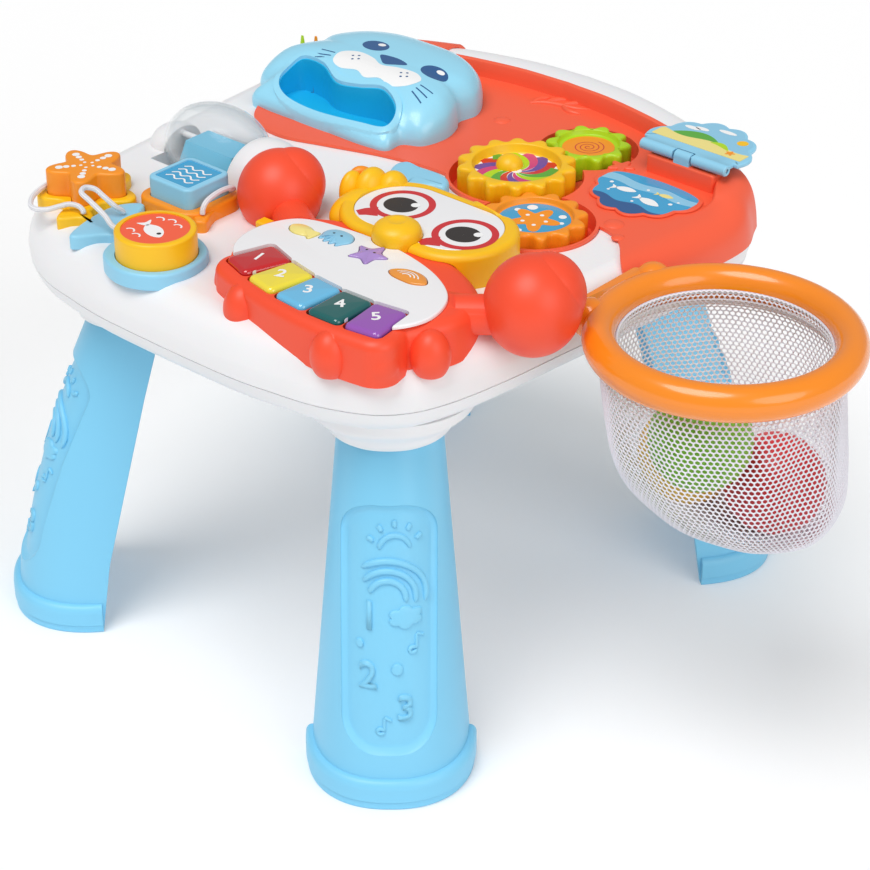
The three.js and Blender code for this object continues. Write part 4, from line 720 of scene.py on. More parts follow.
PAGE, PICTURE = table_at(0.7, 0.57), table_at(0.673, 0.527)
HINGE_Z = DECK + 22
PAGE_W, PAGE_D = 86.0, 64.0
PANEL_TOP = DECK + GAP + PANEL
edge = spline(np.array([
    [-1.16, 0.3], [-0.87, 0.26], [-0.7, 0.06], [-0.54, 0.01], [-0.36, 0.055], [-0.15, 0.115],
    [0.064, 0.14], [0.286, 0.11], [0.466, 0.1], [0.657, 0.16], [0.8, 0.13], [0.94, 0], [1.16, -0.03]])
    * [HALF, BACK], 160, closed=False, power=0.0)
region = np.vstack([edge, [[1.1 * HALF, 1.1 * BACK], [-1.1 * HALF, 1.1 * BACK]]])
# A skin over the deck that is kept behind a wavy edge and inside the arch, with laps over the rim
panel = carve(table_block("panel", GAP + PANEL), [table_block("tool", GAP)])
keep = loft("keep", [at_height(inset(OUTLINE, 0.86 * RIM + (BAND - RIM)), z) for z in (300, ABOVE)])
laps = [cutter(rounded_box(hx * HALF, hy * BACK, 0.08 * HALF, 16) + [x * HALF, y * BACK], 301, ABOVE + 1)
        for x, y, hx, hy in ((0.88, 0.1, 0.318, 0.56), (-0.66, 0.92, 0.145, 0.2))]
carve(keep, laps, "UNION")
carve(keep, [cutter(region, BULGE + 1, ABOVE - 10)], "INTERSECT")
carve(keep, wells(PANEL, 302, ABOVE - 1), "UNION")
carve(panel, [keep], "INTERSECT")
# The gears' well, a platform for the page's hinge, and three bubbles
tub = wells(PANEL, WELL_FLOOR - PANEL, PANEL_TOP - 0.05)
carve(panel, [carve(tub[0], tub[1:], "UNION")], "UNION")
carve(panel, wells(0, WELL_FLOOR, PANEL_TOP + 30))
platform = pillow("platform", rounded_box(PAGE_W * 0.34, PAGE_D * 0.4, 8.6) + PAGE
                  + [0.42 * PAGE_W, 0.5 * PAGE_D], BULGE, DECK + 8, PANEL, 6)
carve(platform, [cutter(inset(OUTLINE, RIM * 0.8), 0)], "INTERSECT")
bubbles = [ellipsoid("bubble", [x * HALF, y * BACK, PANEL_TOP - 0.1 * r], [r, r, 0.35 * r], 40, 20)
           for x, y, r in ((-0.042, 0.55, 7), (0.73, 0.2, 8), (0.795, 0.14, 5))]
finish_piece(merge("panel", [panel, platform, *bubbles]), "coral_plastic", "upper_panel")


# Gears

def gear(name, phase):
    """Rounded teeth: the radius swings with a softened cosine; rings close over the top edge and
    step down into a round dish with a flat floor."""
    teeth, pitch, middle = GEAR_TEETH[name], PITCH[name], GEAR_AT[name]
    a = np.linspace(0, 2 * np.pi, teeth * 24, endpoint=False)
    wave = np.cos(teeth * a)
    radius = pitch - 0.6 + TOOTH * np.sign(wave) * np.abs(wave) ** 0.8
    low = WELL_FLOOR + FIT
    high = low + GEAR_TOP[name]
    dish, floor = pitch * 0.78, high - GEAR_DISH[name]
    rows = [(radius - 0.3, low), (radius, low + 0.4), (radius, high - 3)]
    rows += [(radius - 3 * (1 - math.cos(t)), high - 3 + 3 * math.sin(t))
             for t in np.radians([20, 40, 60, 75, 90])]
    rows += [(dish + 1.4, high), (dish + 0.5, high - 0.3), (dish, high - 1.1), (dish - 0.5, floor + 0.8),
             (dish - 1.2, floor), (dish * 0.5, floor)]
    turn = unit(a + phase)
    return loft("gear_" + name + "_wheel", [
        at_height(turn * np.broadcast_to(r, len(a))[:, None] + middle, z) for r, z in rows], 50)


GEAR_SLOTS = {"yellow": "yellow_plastic", "green": "lime_plastic", "orange": "orange_plastic"}
for name, slot_name in GEAR_SLOTS.items():
    angle = GEAR_BEARING.get(name)
    phase = 0.0 if angle is None else math.radians(
        angle + 180 + (GEAR_TEETH["yellow"] * angle - 180) / GEAR_TEETH[name])
    finish_piece(gear(name, phase), slot_name, "gear_" + name, "gear_" + name)


# Printed marks: thin sheets that lie on a surface

def sheet(rows, height):
    return grid("mark", np.dstack([rows, np.full(rows.shape[:2], height)]))


def disc(outline, height, rows=12):
    """A flat sheet inside an outline that its middle sees all of: rings shrink towards the middle."""
    loop, middle = np.vstack([outline, outline[:1]]), outline.mean(0)
    return sheet(middle + (loop - middle) * np.linspace(1, 0.01, rows)[:, None, None], height)


def dots(centre, height, spots, count=32, rows=12):
    """Round marks from places around a centre and radii."""
    return [disc(circle(r, count, centre + [x, y]), height, rows) for x, y, r in spots]


def ribbon(line, width, height):
    """A flat strip along a line in plan; its width may change along it."""
    along = np.gradient(line, axis=0)
    along /= np.linalg.norm(along, axis=1, keepdims=True)
    side = np.stack([-along[:, 1], along[:, 0]], axis=1) * np.broadcast_to(width, (len(line),))[:, None] / 2
    return sheet(np.stack([line - side, line, line + side], axis=1), height)


def ring_sheet(outer, inner, height):
    loops = [np.vstack([o, o[:1]]) for o in (outer, inner)]
    return sheet(np.stack([loops[0] + (loops[1] - loops[0]) * t for t in (0, 0.5, 1)]), height)


def letters(text, size, depth):
    """A mesh of raised characters, centred on the origin of its own plan, in millimetres."""
    curve = bpy.data.curves.new("letters", "FONT")
    curve.body, curve.size, curve.extrude = text, size, depth
    curve.align_x, curve.align_y, curve.offset = "CENTER", "CENTER", size * 0.018
    temp = add("letters", curve)
    me = evaluated(temp)
    bpy.data.objects.remove(temp)
    return add("letters", me)


def printed(name, parts, ink, slot_name, body="base", target=None):
    """Joins marks of one ink, and lets them fall onto the target if there is one."""
    ob = merge(name, parts)
    if target:
        modified(ob, "SHRINKWRAP", target=target, wrap_method="PROJECT", offset=0.12 / 1000,
                 use_project_z=True, use_negative_direction=True, use_positive_direction=True)
    return finish_piece(ob, slot_name, None, body, ink)


# Seal head with its open mouth
SEAL = table_at(-0.481, 0.122)
SEAL_W, SEAL_D, SEAL_H = 93.0, 146.0, 40.0
SEAL_FLOOR = PANEL_TOP + GAP + 3
cheek = np.array([
    [0, 0], [0.6, 0], [0.79, 0.03], [0.8, 0.14], [0.95, 0.2], [1, 0.36], [0.93, 0.5], [0.86, 0.57],
    [0.88, 0.7], [0.7, 0.88], [0.4, 0.98], [0, 1]])
SEAL_LINE = shaped(np.vstack([cheek, cheek[1:-1][::-1] * [-1, 1]]), 260, [SEAL_W, SEAL_D], SEAL)
SEAL_ROWS = spline([[1, 0], [1, 0.34], [0.96, 0.6], [0.85, 0.82], [0.6, 0.96], [0.3, 1.0], [0.02, 1.01]],
                   30, False)
mouth = shaped([
    [-0.6, 0.13], [-0.42, 0.045], [0.5, 0.045], [0.71, 0.08], [0.66, 0.2], [0.42, 0.27], [0.18, 0.235],
    [-0.05, 0.22], [-0.32, 0.29], [-0.58, 0.29]], 140, [SEAL_W, SEAL_D], SEAL)


def seal_dome(name, grow):
    """The head's outline drawn in row by row under a crown that falls towards the mouth."""
    shape, centre = inset(SEAL_LINE, -grow), SEAL + [0, 0.52 * SEAL_D]
    rings = []
    for share, height in SEAL_ROWS:
        ring = centre + (shape - centre) * share
        fall = 0.52 + 0.48 * ease((ring[:, 1] - SEAL[1]) / SEAL_D, -0.02, 0.42)
        rings.append(at_height(ring, DECK + (SEAL_H * fall + grow) * height))
    return loft(name, rings, 60)


seal = seal_dome("seal_skin", 0)
carve(seal, [carve(seal_dome("lip", 1.6), [cutter(inset(mouth, -4.6), 340)], "INTERSECT")], "UNION")
carve(seal, [cutter(mouth, SEAL_FLOOR)], angle=50)
liner = seal_dome("seal_mouth", -1.2)
carve(liner, [cutter(inset(mouth, -0.3), SEAL_FLOOR - 1, ABOVE + 1)], "INTERSECT")
carve(liner, [cutter(inset(mouth, 0.9), SEAL_FLOOR + 0.1, ABOVE + 2)], angle=50)
finish_piece(liner, "pale_blue_plastic", ink="mouth_blue")
eyes = [oval([-94.0 + s * 34.4, 117.6 - s * 3.2], 12.4, 9.6, -5) for s in (-1, 1)]
snout = shaped([[-14.5, 4.5], [-6, 7.2], [5, 7.2], [14.5, 3.5], [7, -3.5], [0, -7.5], [-7, -3.5]], 60,
               place=[-97.5, 104.5])
muzzle = shaped([
    [-43, 4], [-40, -10], [-28, -15], [-12, -12], [0, -16], [12, -12], [26, -15], [39, -8], [42, 4],
    [32, 11], [14, 9], [0, 4], [-14, 10], [-32, 12]], 160, place=[-98, 90])
on_seal = ("pale_blue_plastic", "base", seal)
printed("seal_eyes", [disc(line, ABOVE) for line in (*eyes, snout)], "ink_navy", *on_seal)
lights = [disc(oval(eye.mean(0) + [3.0, 4.2], 3.6, 2.8), ABOVE) for eye in eyes]
moved(printed("seal_eye_lights", lights, "ink_white", *on_seal), [0, 0, 0.08])
printed("muzzle", [disc(muzzle, ABOVE, 24)], "ink_white", *on_seal)
whiskers = dots(np.array([-98, 92]), ABOVE, [
    (s * (26 + 4 * c), 4 * r - s * c, 1.1) for s in (-1, 1) for c, r in ((-1, 0), (0, 1), (1, 0), (0, -1))],
    16, 3)
whiskers += [ribbon(np.linspace([-98 + s * 46, 84 + 5 * k], [-98 + s * 60, 81 + 7 * k], 8), 1.1, ABOVE)
             for s in (-1, 1) for k in (-1, 0, 1)]
moved(printed("seal_whiskers", whiskers, "ink_navy", *on_seal), [0, 0, 0.1])
finish_piece(seal, "pale_blue_plastic", "seal_head")


# Crab piano: its keys fan out around a point behind them
CRAB, CRAB_TURN = table_at(0.456, -0.656), math.radians(-5)
CRAB_W, CRAB_D = 106.0, 134.0
CRAB_LOW, CRAB_TOP = DECK - 13, DECK + 21
KEY_TOP = CRAB_TOP + 3
KEY_LOW = KEY_TOP - 15
KEY_FAN, KEY_PITCH, KEY_ROW, BAR_FAN = 260, 30.4, CRAB_D * 0.305, 262
KEY_TRAVEL, BUTTON_TRAVEL, NOSE_TRAVEL = 3, 1.5, 2
BAY_FLOOR = KEY_LOW - KEY_TRAVEL - FIT - 1
BUTTON_TOP = KEY_TOP + 1.2
BUTTON_LOW = BUTTON_TOP - 7
# Buttons: place as shares of the crab, slot, and outline in millimetres
BUTTONS = {
    "fish": ((-0.665, 0.12), "button_cream", [
        [-12.6, 0], [-9, 5.2], [-2, 7.2], [4, 5.8], [7.6, 4.4], [11.6, 6], [12.6, 0], [11.6, -6],
        [7.6, -4.4], [4, -5.8], [-2, -7.2], [-9, -5.2]]),
    "jelly": ((-0.43, 0.19), "button_blue", [
        [-11, -4], [-13, 2], [-9, 8.5], [0, 11], [9, 8.5], [13, 2], [11, -4], [8.5, -9], [5.6, -6],
        [2.8, -10], [0, -6.5], [-2.8, -10], [-5.6, -6], [-8.5, -9]]),
    "star": ((-0.1, 0.185), "button_lilac", [
        14.5 * (0.8 + 0.2 * math.cos(math.pi * k)) * unit(math.pi * (k / 5 + 0.5)) for k in range(10)]),
    "shell": ((0.31, 0.165), "button_orange", [
        [-16.5, -3], [-11, 4.5], [-1, 8.2], [10, 6.4], [16.5, 0], [10, -6], [0, -7.6], [-11, -7]])}
# Slot of each key and turn of its number in degrees
KEYS = [("key_red", 12), ("key_yellow", 24), ("key_blue", 34), ("key_teal", 40), ("key_purple", 46)]
# Claws: place as shares of the crab, and radius
CLAWS = {"left": (-1.32, 0.4, 31.5), "right": (1.067, 0.456, 34.0)}
CLAW_TALL = np.array([1, 1, 1.06])


def crab_at(outline):
    return turned(np.atleast_2d(outline), CRAB_TURN) + CRAB


def on_crab(x, y):
    return crab_at([x * CRAB_W, y * CRAB_D])[0]


def crab_share(shares):
    return crab_at(shaped(shares, 200, [CRAB_W, CRAB_D]))


CRAB_LINE = crab_share([
    [0, -0.47], [0.42, -0.47], [0.63, -0.37], [0.8, -0.17], [0.9, 0.06], [0.8, 0.3], [0.42, 0.47], [0, 0.5],
    [-0.42, 0.48], [-0.8, 0.35], [-1.02, 0.12], [-0.97, -0.12], [-0.77, -0.33], [-0.48, -0.46]])
PLATE_LINE = crab_share([
    [0, -0.37], [0.5, -0.37], [0.7, -0.28], [0.8, -0.08], [0.7, 0.14], [0.45, 0.27], [0, 0.34],
    [-0.48, 0.31], [-0.84, 0.2], [-0.93, -0.04], [-0.82, -0.26], [-0.55, -0.36]])
NOSE, NOSE_LOW, NOSE_R = on_crab(-0.156, 0.424), CRAB_TOP - 1, 18
NOSE_HOLE = circle(NOSE_R + FIT, 96, NOSE)


def key_line(number, grow, width=28.6):
    angle = (number - 3) * (KEY_PITCH / KEY_FAN)
    shape = turned(rounded_box(width / 2 + grow, 19 + grow, 5), angle)
    return crab_at(shape + [KEY_FAN * math.sin(angle), KEY_FAN - KEY_FAN * math.cos(angle) - KEY_ROW])


def button_line(name, grow=0.0):
    place, _, outline = BUTTONS[name]
    return inset(crab_at(shaped(outline, 140, place=np.array(place) * [CRAB_W, CRAB_D])), -grow)


def crab_holes(low):
    """Bays for the keys and holes for the buttons and the nose, as closed tools."""
    tools = [cutter(key_line(n, FIT, KEY_PITCH), max(low, BAY_FLOOR) - 0.01 * n) for n in (1, 2, 3, 4, 5)]
    floor = max(low, BUTTON_LOW - BUTTON_TRAVEL - FIT)
    tools += [cutter(button_line(n, FIT), floor, ABOVE + 1) for n in BUTTONS]
    return tools + [cutter(NOSE_HOLE, max(low, NOSE_LOW - NOSE_TRAVEL - FIT), ABOVE + 2)]


def claw_at(side):
    x, y, radius = CLAWS[side]
    return np.array([*on_crab(x, y), DECK + 0.55 * radius])


def crab_block(name, grow):
    """Body, feet, a bar bent around the keys, and arms to the claws."""
    body = pillow(name, inset(CRAB_LINE, -grow), CRAB_LOW, CRAB_TOP + grow, 9.5, 10, 60)
    feet = [(-0.76, -0.3), (-0.425, -0.46), (0.425, -0.46), (0.7, -0.33), (0.86, -0.1)]
    foot_size = np.array([14, 14, 18.9]) + grow
    parts = [ellipsoid("foot", [*on_crab(x, y), DECK], foot_size) for x, y in feet]
    bar = spaced(rounded_box(85 + grow, 26.5 + grow, 17, 20), 260, True)
    bend, far = bar[:, 0] / BAR_FAN, BAR_FAN - bar[:, 1]
    bar = np.column_stack([far * np.sin(bend), KEY_FAN - KEY_ROW - far * np.cos(bend)])
    parts.append(pillow("rim", crab_at(bar), CRAB_LOW + 0.1, CRAB_TOP - 0.2 + grow, 8, 10, 60))
    for side, (x, _, _) in CLAWS.items():
        arm = [on_crab(math.copysign(0.72, x), 0.18), claw_at(side)[:2]]
        parts.append(rod("arm", *[[*end, DECK + 11.2] for end in arm], 14 + grow))
    return carve(body, parts, "UNION", 60)


def slab(top):
    """A tool that clears everything below a height."""
    return prism("tool", circle(900, 8), 0, top)


crab = crab_block("crab_shell", 0)
plate_seat = cutter(inset(PLATE_LINE, -GAP), CRAB_TOP, ABOVE - 1)
carve(crab, [slab(CRAB_LOW), plate_seat, *crab_holes(0)], angle=50)
finish_piece(crab, "coral_plastic", "crab_body", ink="crab_plastic")
plate = pillow("crab_plate", PLATE_LINE, CRAB_TOP + GAP, KEY_TOP, 1.4)
finish_piece(carve(plate, crab_holes(330)), "white_gloss", "crab_faceplate")
for side, (_, _, radius) in CLAWS.items():
    middle, p = claw_at(side), radius * 0.78
    claw = ellipsoid("claw_" + side, middle, radius * CLAW_TALL, 96, 64)
    pinch = ellipsoid("pinch", middle + [p * 0.2, p * 0.34, p * 0.26], [p, p, p * 1.1], 96, 64)
    carve(carve(claw, [pinch], "UNION"), [slab(BULGE)])
    finish_piece(claw, "coral_plastic", "crab_claw_" + side, ink="crab_plastic")

for number, (slot_name, label_turn) in enumerate(KEYS, 1):
    key, line = f"key_{number}", key_line(number, 0)
    top = crown(line, 4, KEY_TOP, 0.8, (0.75, 0.5, 0.25, 0.05))
    finish_piece(pillow(f"keycap_{number}", line, KEY_LOW, KEY_TOP, 4, 10, 70, top), slot_name, key, key)
    digit = reshape(letters(str(number), 15, 0.05), lambda p: np.column_stack([
        turned(p[:, :2], math.radians(label_turn)) + line.mean(0), p[:, 2] + KEY_TOP + 0.9]))
    printed("print_" + key, [digit], "ink_white", "white_gloss", key)

caps = {}
for name, (_, slot_name, _) in BUTTONS.items():
    line = button_line(name)
    top = crown(line, 1.6, BUTTON_TOP, 1.2, (0.85, 0.7, 0.5, 0.25, 0.05))
    caps[name] = pillow("button_cap_" + name, line, BUTTON_LOW, BUTTON_TOP, 1.6, 8, 60, top)
    finish_piece(caps[name], slot_name, "button_" + name, "button_" + name)
hinge = on_crab(*BUTTONS["shell"][0]) - [0, 4]
rings = [ribbon(arc(hinge, radius, 20, 160, 24, 0.7), 0.9, ABOVE) for radius in (4, 7, 10)]
printed("button_shell_rings", rings, "ink_white", "button_orange", "button_shell", caps["shell"])
for name in ("jelly", "star"):
    place, slot_name, _ = BUTTONS[name]
    pair = dots(on_crab(*place), ABOVE, ((-3.6, 1.5, 1.0), (3.6, 1.5, 1.0)), 20, 4)
    printed(f"button_{name}_eyes", pair, "ink_dark", slot_name, "button_" + name, caps[name])

NOSE_ROWS = spline([[1, 0], [1, 0.45], [0.9, 0.72], [0.66, 0.9], [0.34, 0.985], [0.03, 1.0]], 30, False)
nose = loft("nose_dome", [
    at_height(circle(NOSE_R * s, 96, NOSE), NOSE_LOW + NOSE_R * h) for s, h in NOSE_ROWS], 60)
carve(nose, [ellipsoid("tool", [*NOSE, NOSE_LOW + 24.6], [13, 13, 8], 72, 40)], angle=60)
finish_piece(nose, "yellow_plastic", "nose_button", "nose_button")


# Goggled face

FACE, FACE_W, FACE_D, FACE_H = table_at(0.413, -0.27), 73.0, 44.0, 26
FACE_TOP = DECK + FACE_H
BODY = FACE - [3.5, 0]
FACE_LINE = rounded_box(FACE_W * 0.97, FACE_D, FACE_D * 0.96, 40) + BODY
LENSES = np.array([[66.0, -63.0], [131.0, -69.5]])


def crab_room():
    """The crab and its plate with a gap around them, as one tool."""
    lid = pillow("lid", inset(PLATE_LINE, -GAP), CRAB_TOP - 1, KEY_TOP + GAP, 1.4)
    return carve(crab_block("tool", GAP), [lid], "UNION")


def lobe(x, y, z, wide, deep, tall):
    return ellipsoid("lobe", [FACE[0] + x * FACE_W, FACE[1] + y * FACE_D, DECK + z * FACE_H],
                     [wide * FACE_D, deep * FACE_D, tall * FACE_D], 48, 32)


face = pillow("face_shell", FACE_LINE, DECK, FACE_TOP, 5, 10, 60)
carve(face, [lobe(*numbers) for numbers in (
    (0.28, 0.92, 0.75, 0.5, 0.26, 0.22), (-1.17, 0.16, 0.72, 0.17, 0.26, 0.36),
    (-1.03, 0.4, 0.76, 0.24, 0.34, 0.38), (-0.86, 0.62, 0.7, 0.26, 0.3, 0.36),
    (-0.92, -0.1, 0.5, 0.38, 0.62, 0.34))], "UNION", 60)
goggle = rounded_box(FACE_W * 0.82, FACE_D * 0.8, FACE_D * 0.77, 40) + BODY
carve(face, [cutter(goggle, FACE_TOP - 2), cutter(NOSE_HOLE, 345, ABOVE + 2), *wells(GAP, 300, ABOVE + 1),
             crab_room()], angle=50)
finish_piece(face, "yellow_plastic", "diver_face")
mask = pillow("face_mask", inset(goggle, GAP), FACE_TOP - 1.7, FACE_TOP, 0.8)
finish_piece(carve(mask, [cutter(NOSE_HOLE, 345), crab_room()]), "white_gloss", "diver_mask")
rings = [ring_sheet(circle(24, 96, c), circle(18.8, 96, c), FACE_TOP + 0.06) for c in LENSES]
rings += [ribbon(c + [[-6, -20], [-13, -26], [-16, -31]], [15, 11, 8], FACE_TOP + 0.04) for c in LENSES]
printed("goggle_rings", rings, "ink_red", "white_gloss")
printed("goggle_pupils", [disc(oval(c - 1, 13.2, 12), FACE_TOP + 0.06) for c in LENSES],
        "ink_dark", "white_gloss")
printed("goggle_lights", [disc(circle(3.4, 32, c + [7.5, 5.5]), FACE_TOP + 0.12) for c in LENSES],
        "ink_white", "white_gloss")
snorkel_foot = [*(FACE + [-1.14 * FACE_W, 0.22 * FACE_D]), DECK]
route = np.array([[-0.14, -0.02, -0.08], [-0.19, 0.02, 0.69], [-0.1, 0.16, 1.15], [0.04, 0.3, 1.04],
                  [0.11, 0.39, 0.54], [0.13, 0.43, -0.08]]) * [FACE_D, FACE_D, FACE_H] + snorkel_foot
finish_piece(tube("snorkel_pipe", spline(route, 60, closed=False), 4.2, 32), "orange_plastic", "snorkel")
fin = spline([[6.2, -13.2], [-1.2, 3.9], [3.2, 12.6], [19.4, 11.6], [35.5, 12.6], [48.6, 7.8], [53.8, -3.8],
              [43.7, -9], [37.1, -18.5], [35, -31.8], [21.9, -27.3]], 120)
wave = pillow("fin_wave_blade", fin, DECK - 1, DECK + 16, 4)
finish_piece(carve(wave, [cutter(inset(FACE_LINE, 0.5), 340, 380)]), "sky_blue_plastic", "fin_wave")


# Shape trays, blocks and their labels

def star_line(radius, depth, count=240):
    a = np.linspace(0, 2 * np.pi, count, endpoint=False) + np.pi / 2
    r = radius * (1 - depth + depth * np.cos(5 * (a - np.pi / 2)))
    return r[:, None] * unit(a)


BLOCK_LOW = DECK + 2.6
BLOCK_TOP = BLOCK_LOW + BLOCK_HIGH
LABEL = BLOCK_TOP - 0.9
BLOCK_LINES = {
    "star": star_line(BLOCK_SIZE["star"], 0.2) + PLACES["star"],
    "square": rounded_box(BLOCK_SIZE["square"], BLOCK_SIZE["square"], 7, 14) + PLACES["square"],
    "round": circle(BLOCK_SIZE["round"], 140, PLACES["round"])}
BLOCK_SLOTS = {"star": "orange_plastic", "square": "sky_blue_plastic", "round": "yellow_plastic"}
ROUND = shaped([[1.18, 0], [0.88, 0.88], [0, 1.27], [-0.95, 1], [-1.32, 0.1], [-1, -0.85], [0, -1.22],
                [0.9, -0.82]], 180, BLOCK_SIZE["round"], PLACES["round"])
# Trays: outline, height, share of it that the tail fin has, slot, and the fin as shares of the block
TRAYS = {
    "star": (star_line(39, 0.16) + PLACES["star"], 8.0, 0.9, "yellow_plastic",
             [[0.3, -0.6], [1.1, -0.85], [1.45, -1.2], [1, -1.15], [0.6, -1.55], [0.3, -1.1]]),
    "square": (rounded_box(30.5, 28.9, 14, 14) + PLACES["square"], 12.0, 0.8, "orange_plastic",
               [[0.6, -1.1], [1.15, -1], [1.5, -1.2], [1.75, -1], [1.5, -0.5], [1.2, 0], [0.6, 0]]),
    "round": (ROUND, 8.0, 0.9, "sky_blue_plastic",
              [[-1.1, 0.2], [-1.7, -0.1], [-2.3, -0.75], [-2.6, -0.2], [-2.75, 1.2], [-2.3, 1.7],
               [-1.8, 1], [-1, 1]])}
for name, (line, high, tail_share, slot_name, tail) in TRAYS.items():
    tray = pillow("tray_" + name, line, DECK - 4, DECK + high, 2.4)
    tail_line = shaped(tail, 120, BLOCK_SIZE[name], PLACES[name])
    carve(tray, [pillow("tail", tail_line, DECK - 3.5, DECK + high * tail_share, 2.4)], "UNION", 50)
    tools = [cutter(inset(BLOCK_LINES[name], -FIT), DECK + 2.3)]
    if name == "star":
        tools.append(pillow("tool", inset(ROUND, -FIT), DECK - 6, DECK + 12, 2))
    if name == "square":
        tools.append(ellipsoid("tool", claw_at("left"), CLAW_TALL * (CLAWS["left"][2] + GAP)))
    finish_piece(carve(tray, tools, angle=50), slot_name, name + "_tray")
for name, line in BLOCK_LINES.items():
    block = pillow("block_" + name, line, BLOCK_LOW, BLOCK_TOP, 2, 8, 50)
    if name != "star":
        carve(block, [cutter(inset(line, 4.5), BLOCK_TOP - 1)])
    finish_piece(block, BLOCK_SLOTS[name], name + "_block", name + "_block")


def fish(body, tail, counts, height, angle, size, place):
    """Two sheets, a body and a tail, from outlines of few points."""
    return [disc(turned(shaped(line, count) * size, angle) + place, height)
            for line, count in zip((body, tail), counts)]


# Bearings of five marks, the first straight up
FIVE = np.radians(90 + 72 * np.arange(5))
spots = [(*(21 - 5.4 * k) * unit(a), 2.9 - 0.55 * k) for k in range(4) for a in FIVE]
printed("block_star_dots", dots(PLACES["star"], BLOCK_TOP + 0.05, spots, 24, 4),
        "ink_white", "orange_plastic", "star_block")
printed("block_square_label", [disc(inset(BLOCK_LINES["square"], 4.7), LABEL)],
        "print_blue", "print_blue", "square_block")
t = np.linspace(-1, 1, 60)
waves = [ribbon(np.stack([13 * t, 1.7 * np.sin(7.4 * t) + y], axis=1) + PLACES["square"], 1.4, LABEL + 0.06)
         for y in (-9.5, -3.2, 3.2, 9.5)]
printed("block_square_waves", waves, "ink_white", "print_blue", "square_block")
on_round = ("print_blue", "round_block")
printed("block_round_label", [disc(circle(24.8, 120, PLACES["round"]), LABEL)],
        "coral_plastic", "coral_plastic", "round_block")
little = PLACES["round"] + [1, -3]
printed("block_round_fish", fish(
    [[-11, 0], [-6, 5.4], [1, 6.8], [8, 4.6], [12, 0], [8, -4.2], [1, -6], [-6, -4.8]],
    [[-9.5, 0], [-17, 5.6], [-15, 0], [-17, -5.6]], (80, 50), LABEL + 0.06, math.radians(-20), 1.0, little),
    "ink_white", *on_round)
ripples = [ribbon(arc(PLACES["round"] + spot, 3.6, 10, 170), 1.3, LABEL + 0.08)
           for spot in ([-9, 12], [0, 15], [9, 12], [-12, -14], [-3, -17])]
printed("block_round_ripples", ripples, "ink_white", *on_round)
printed("eye", dots(little, LABEL + 0.12, [(6.5, -0.6, 1.7)], 24), "ink_dark", *on_round)


# Prints on the gears and the yellow one's knob

DISH = {name: WELL_FLOOR + FIT + GEAR_TOP[name] - GEAR_DISH[name] for name in GEAR_TEETH}
centre, height = GEAR_AT["yellow"], DISH["yellow"]
on_yellow = ("white_gloss", "gear_yellow")
printed("gear_yellow_print_base", [disc(circle(31.5, 120, centre), height + 0.06)], "ink_white", *on_yellow)
turns = np.linspace(0, 1, 40)
for k, ink in enumerate(["ink_red", "ink_violet", "ink_magenta", "lime_plastic", "ink_green"]):
    blades = [ribbon(centre + (4 + 27 * turns)[:, None] * unit(np.radians(24 * (k + 5 * m) + 70 * turns)),
                     1.2 + 9.5 * turns, height + 0.12 + 0.01 * k) for m in range(3)]
    printed("gear_yellow_swirl_" + ink, blades, ink, *on_yellow)
knob = ellipsoid("gear_yellow_knob", [*(centre + [-10, 3.5]), height], [10.5, 10.5, 9.5], 96, 48)
finish_piece(carve(knob, [slab(height - 0.4)], angle=60), "yellow_plastic", body="gear_yellow")
centre, height = GEAR_AT["green"], DISH["green"]
on_green = ("orange_plastic", "gear_green")
face = disc(circle(20.5, 96, centre), height + 0.06)
printed("gear_green_print_base", [face], "orange_plastic", *on_green)
a = np.linspace(0.6, 6.5 * np.pi, 160)
spiral = ribbon(centre + (0.62 * a)[:, None] * unit(a), 0.9, height + 0.12)
printed("spiral", [spiral], "ink_red", *on_green)
centre, height = GEAR_AT["orange"], DISH["orange"]
printed("gear_orange_print_base", [disc(circle(27, 96, centre), height + 0.06)],
        "print_blue", "print_blue", "gear_orange")
spots = ((-14, 15, 4), (13, 17, 3), (19, 8, 2), (-20, 5, 2.4), (2, -21, 2.6))
printed("gear_orange_bubbles", dots(centre, height + 0.1, spots), "ink_white", "print_blue", "gear_orange")
on_orange = ("orange_plastic", "gear_orange")
printed("star", [disc(star_line(20, 0.24) + centre, height + 0.14, 16)], "orange_plastic", *on_orange)
printed("gear_orange_star_dots", dots(centre, height + 0.2, [(*9 * unit(b), 1.6) for b in FIVE], 16, 3),
        "ink_white", *on_orange)


# Flip page and picture

def scallop(width, depth, lobes=6, swell=0.09, count=240):
    t = np.linspace(0, np.pi, count)
    rim = 1 + swell * np.abs(np.sin(lobes * t))
    return np.stack([width / 2 * np.cos(t) * rim, depth * (0.12 + 0.8 * np.sin(t) * rim)], axis=1)


def leaf(name, outline, low, high, edge):
    """A flat plate with both edges rounded."""
    a = np.radians([0, 25, 50, 75, 90])
    shrink = {t: at_height(inset(outline, edge * (1 - math.cos(t))), edge * (1 - math.sin(t))) for t in a}
    lower = [shrink[t] + [0, 0, low] for t in a[::-1]]
    return loft(name, lower + [shrink[t] * [1, 1, -1] + [0, 0, high] for t in a], 45)


def knuckle(start, end, radius):
    a, b = [np.array([PAGE[0] + s * PAGE_W, PAGE[1], HINGE_Z]) for s in (start, end)]
    bevel = 0.8
    edge = bevel / (PAGE_W * (end - start))
    profile = [[radius - bevel, 0], [radius, edge], [radius, 1 - edge], [radius - bevel, 1]]
    return lathe_solid("knuckle", profile, a, b, 48)


def shrunk(outline, share):
    middle = (outline.min(0) + outline.max(0)) / 2
    return middle + (outline - middle) * share


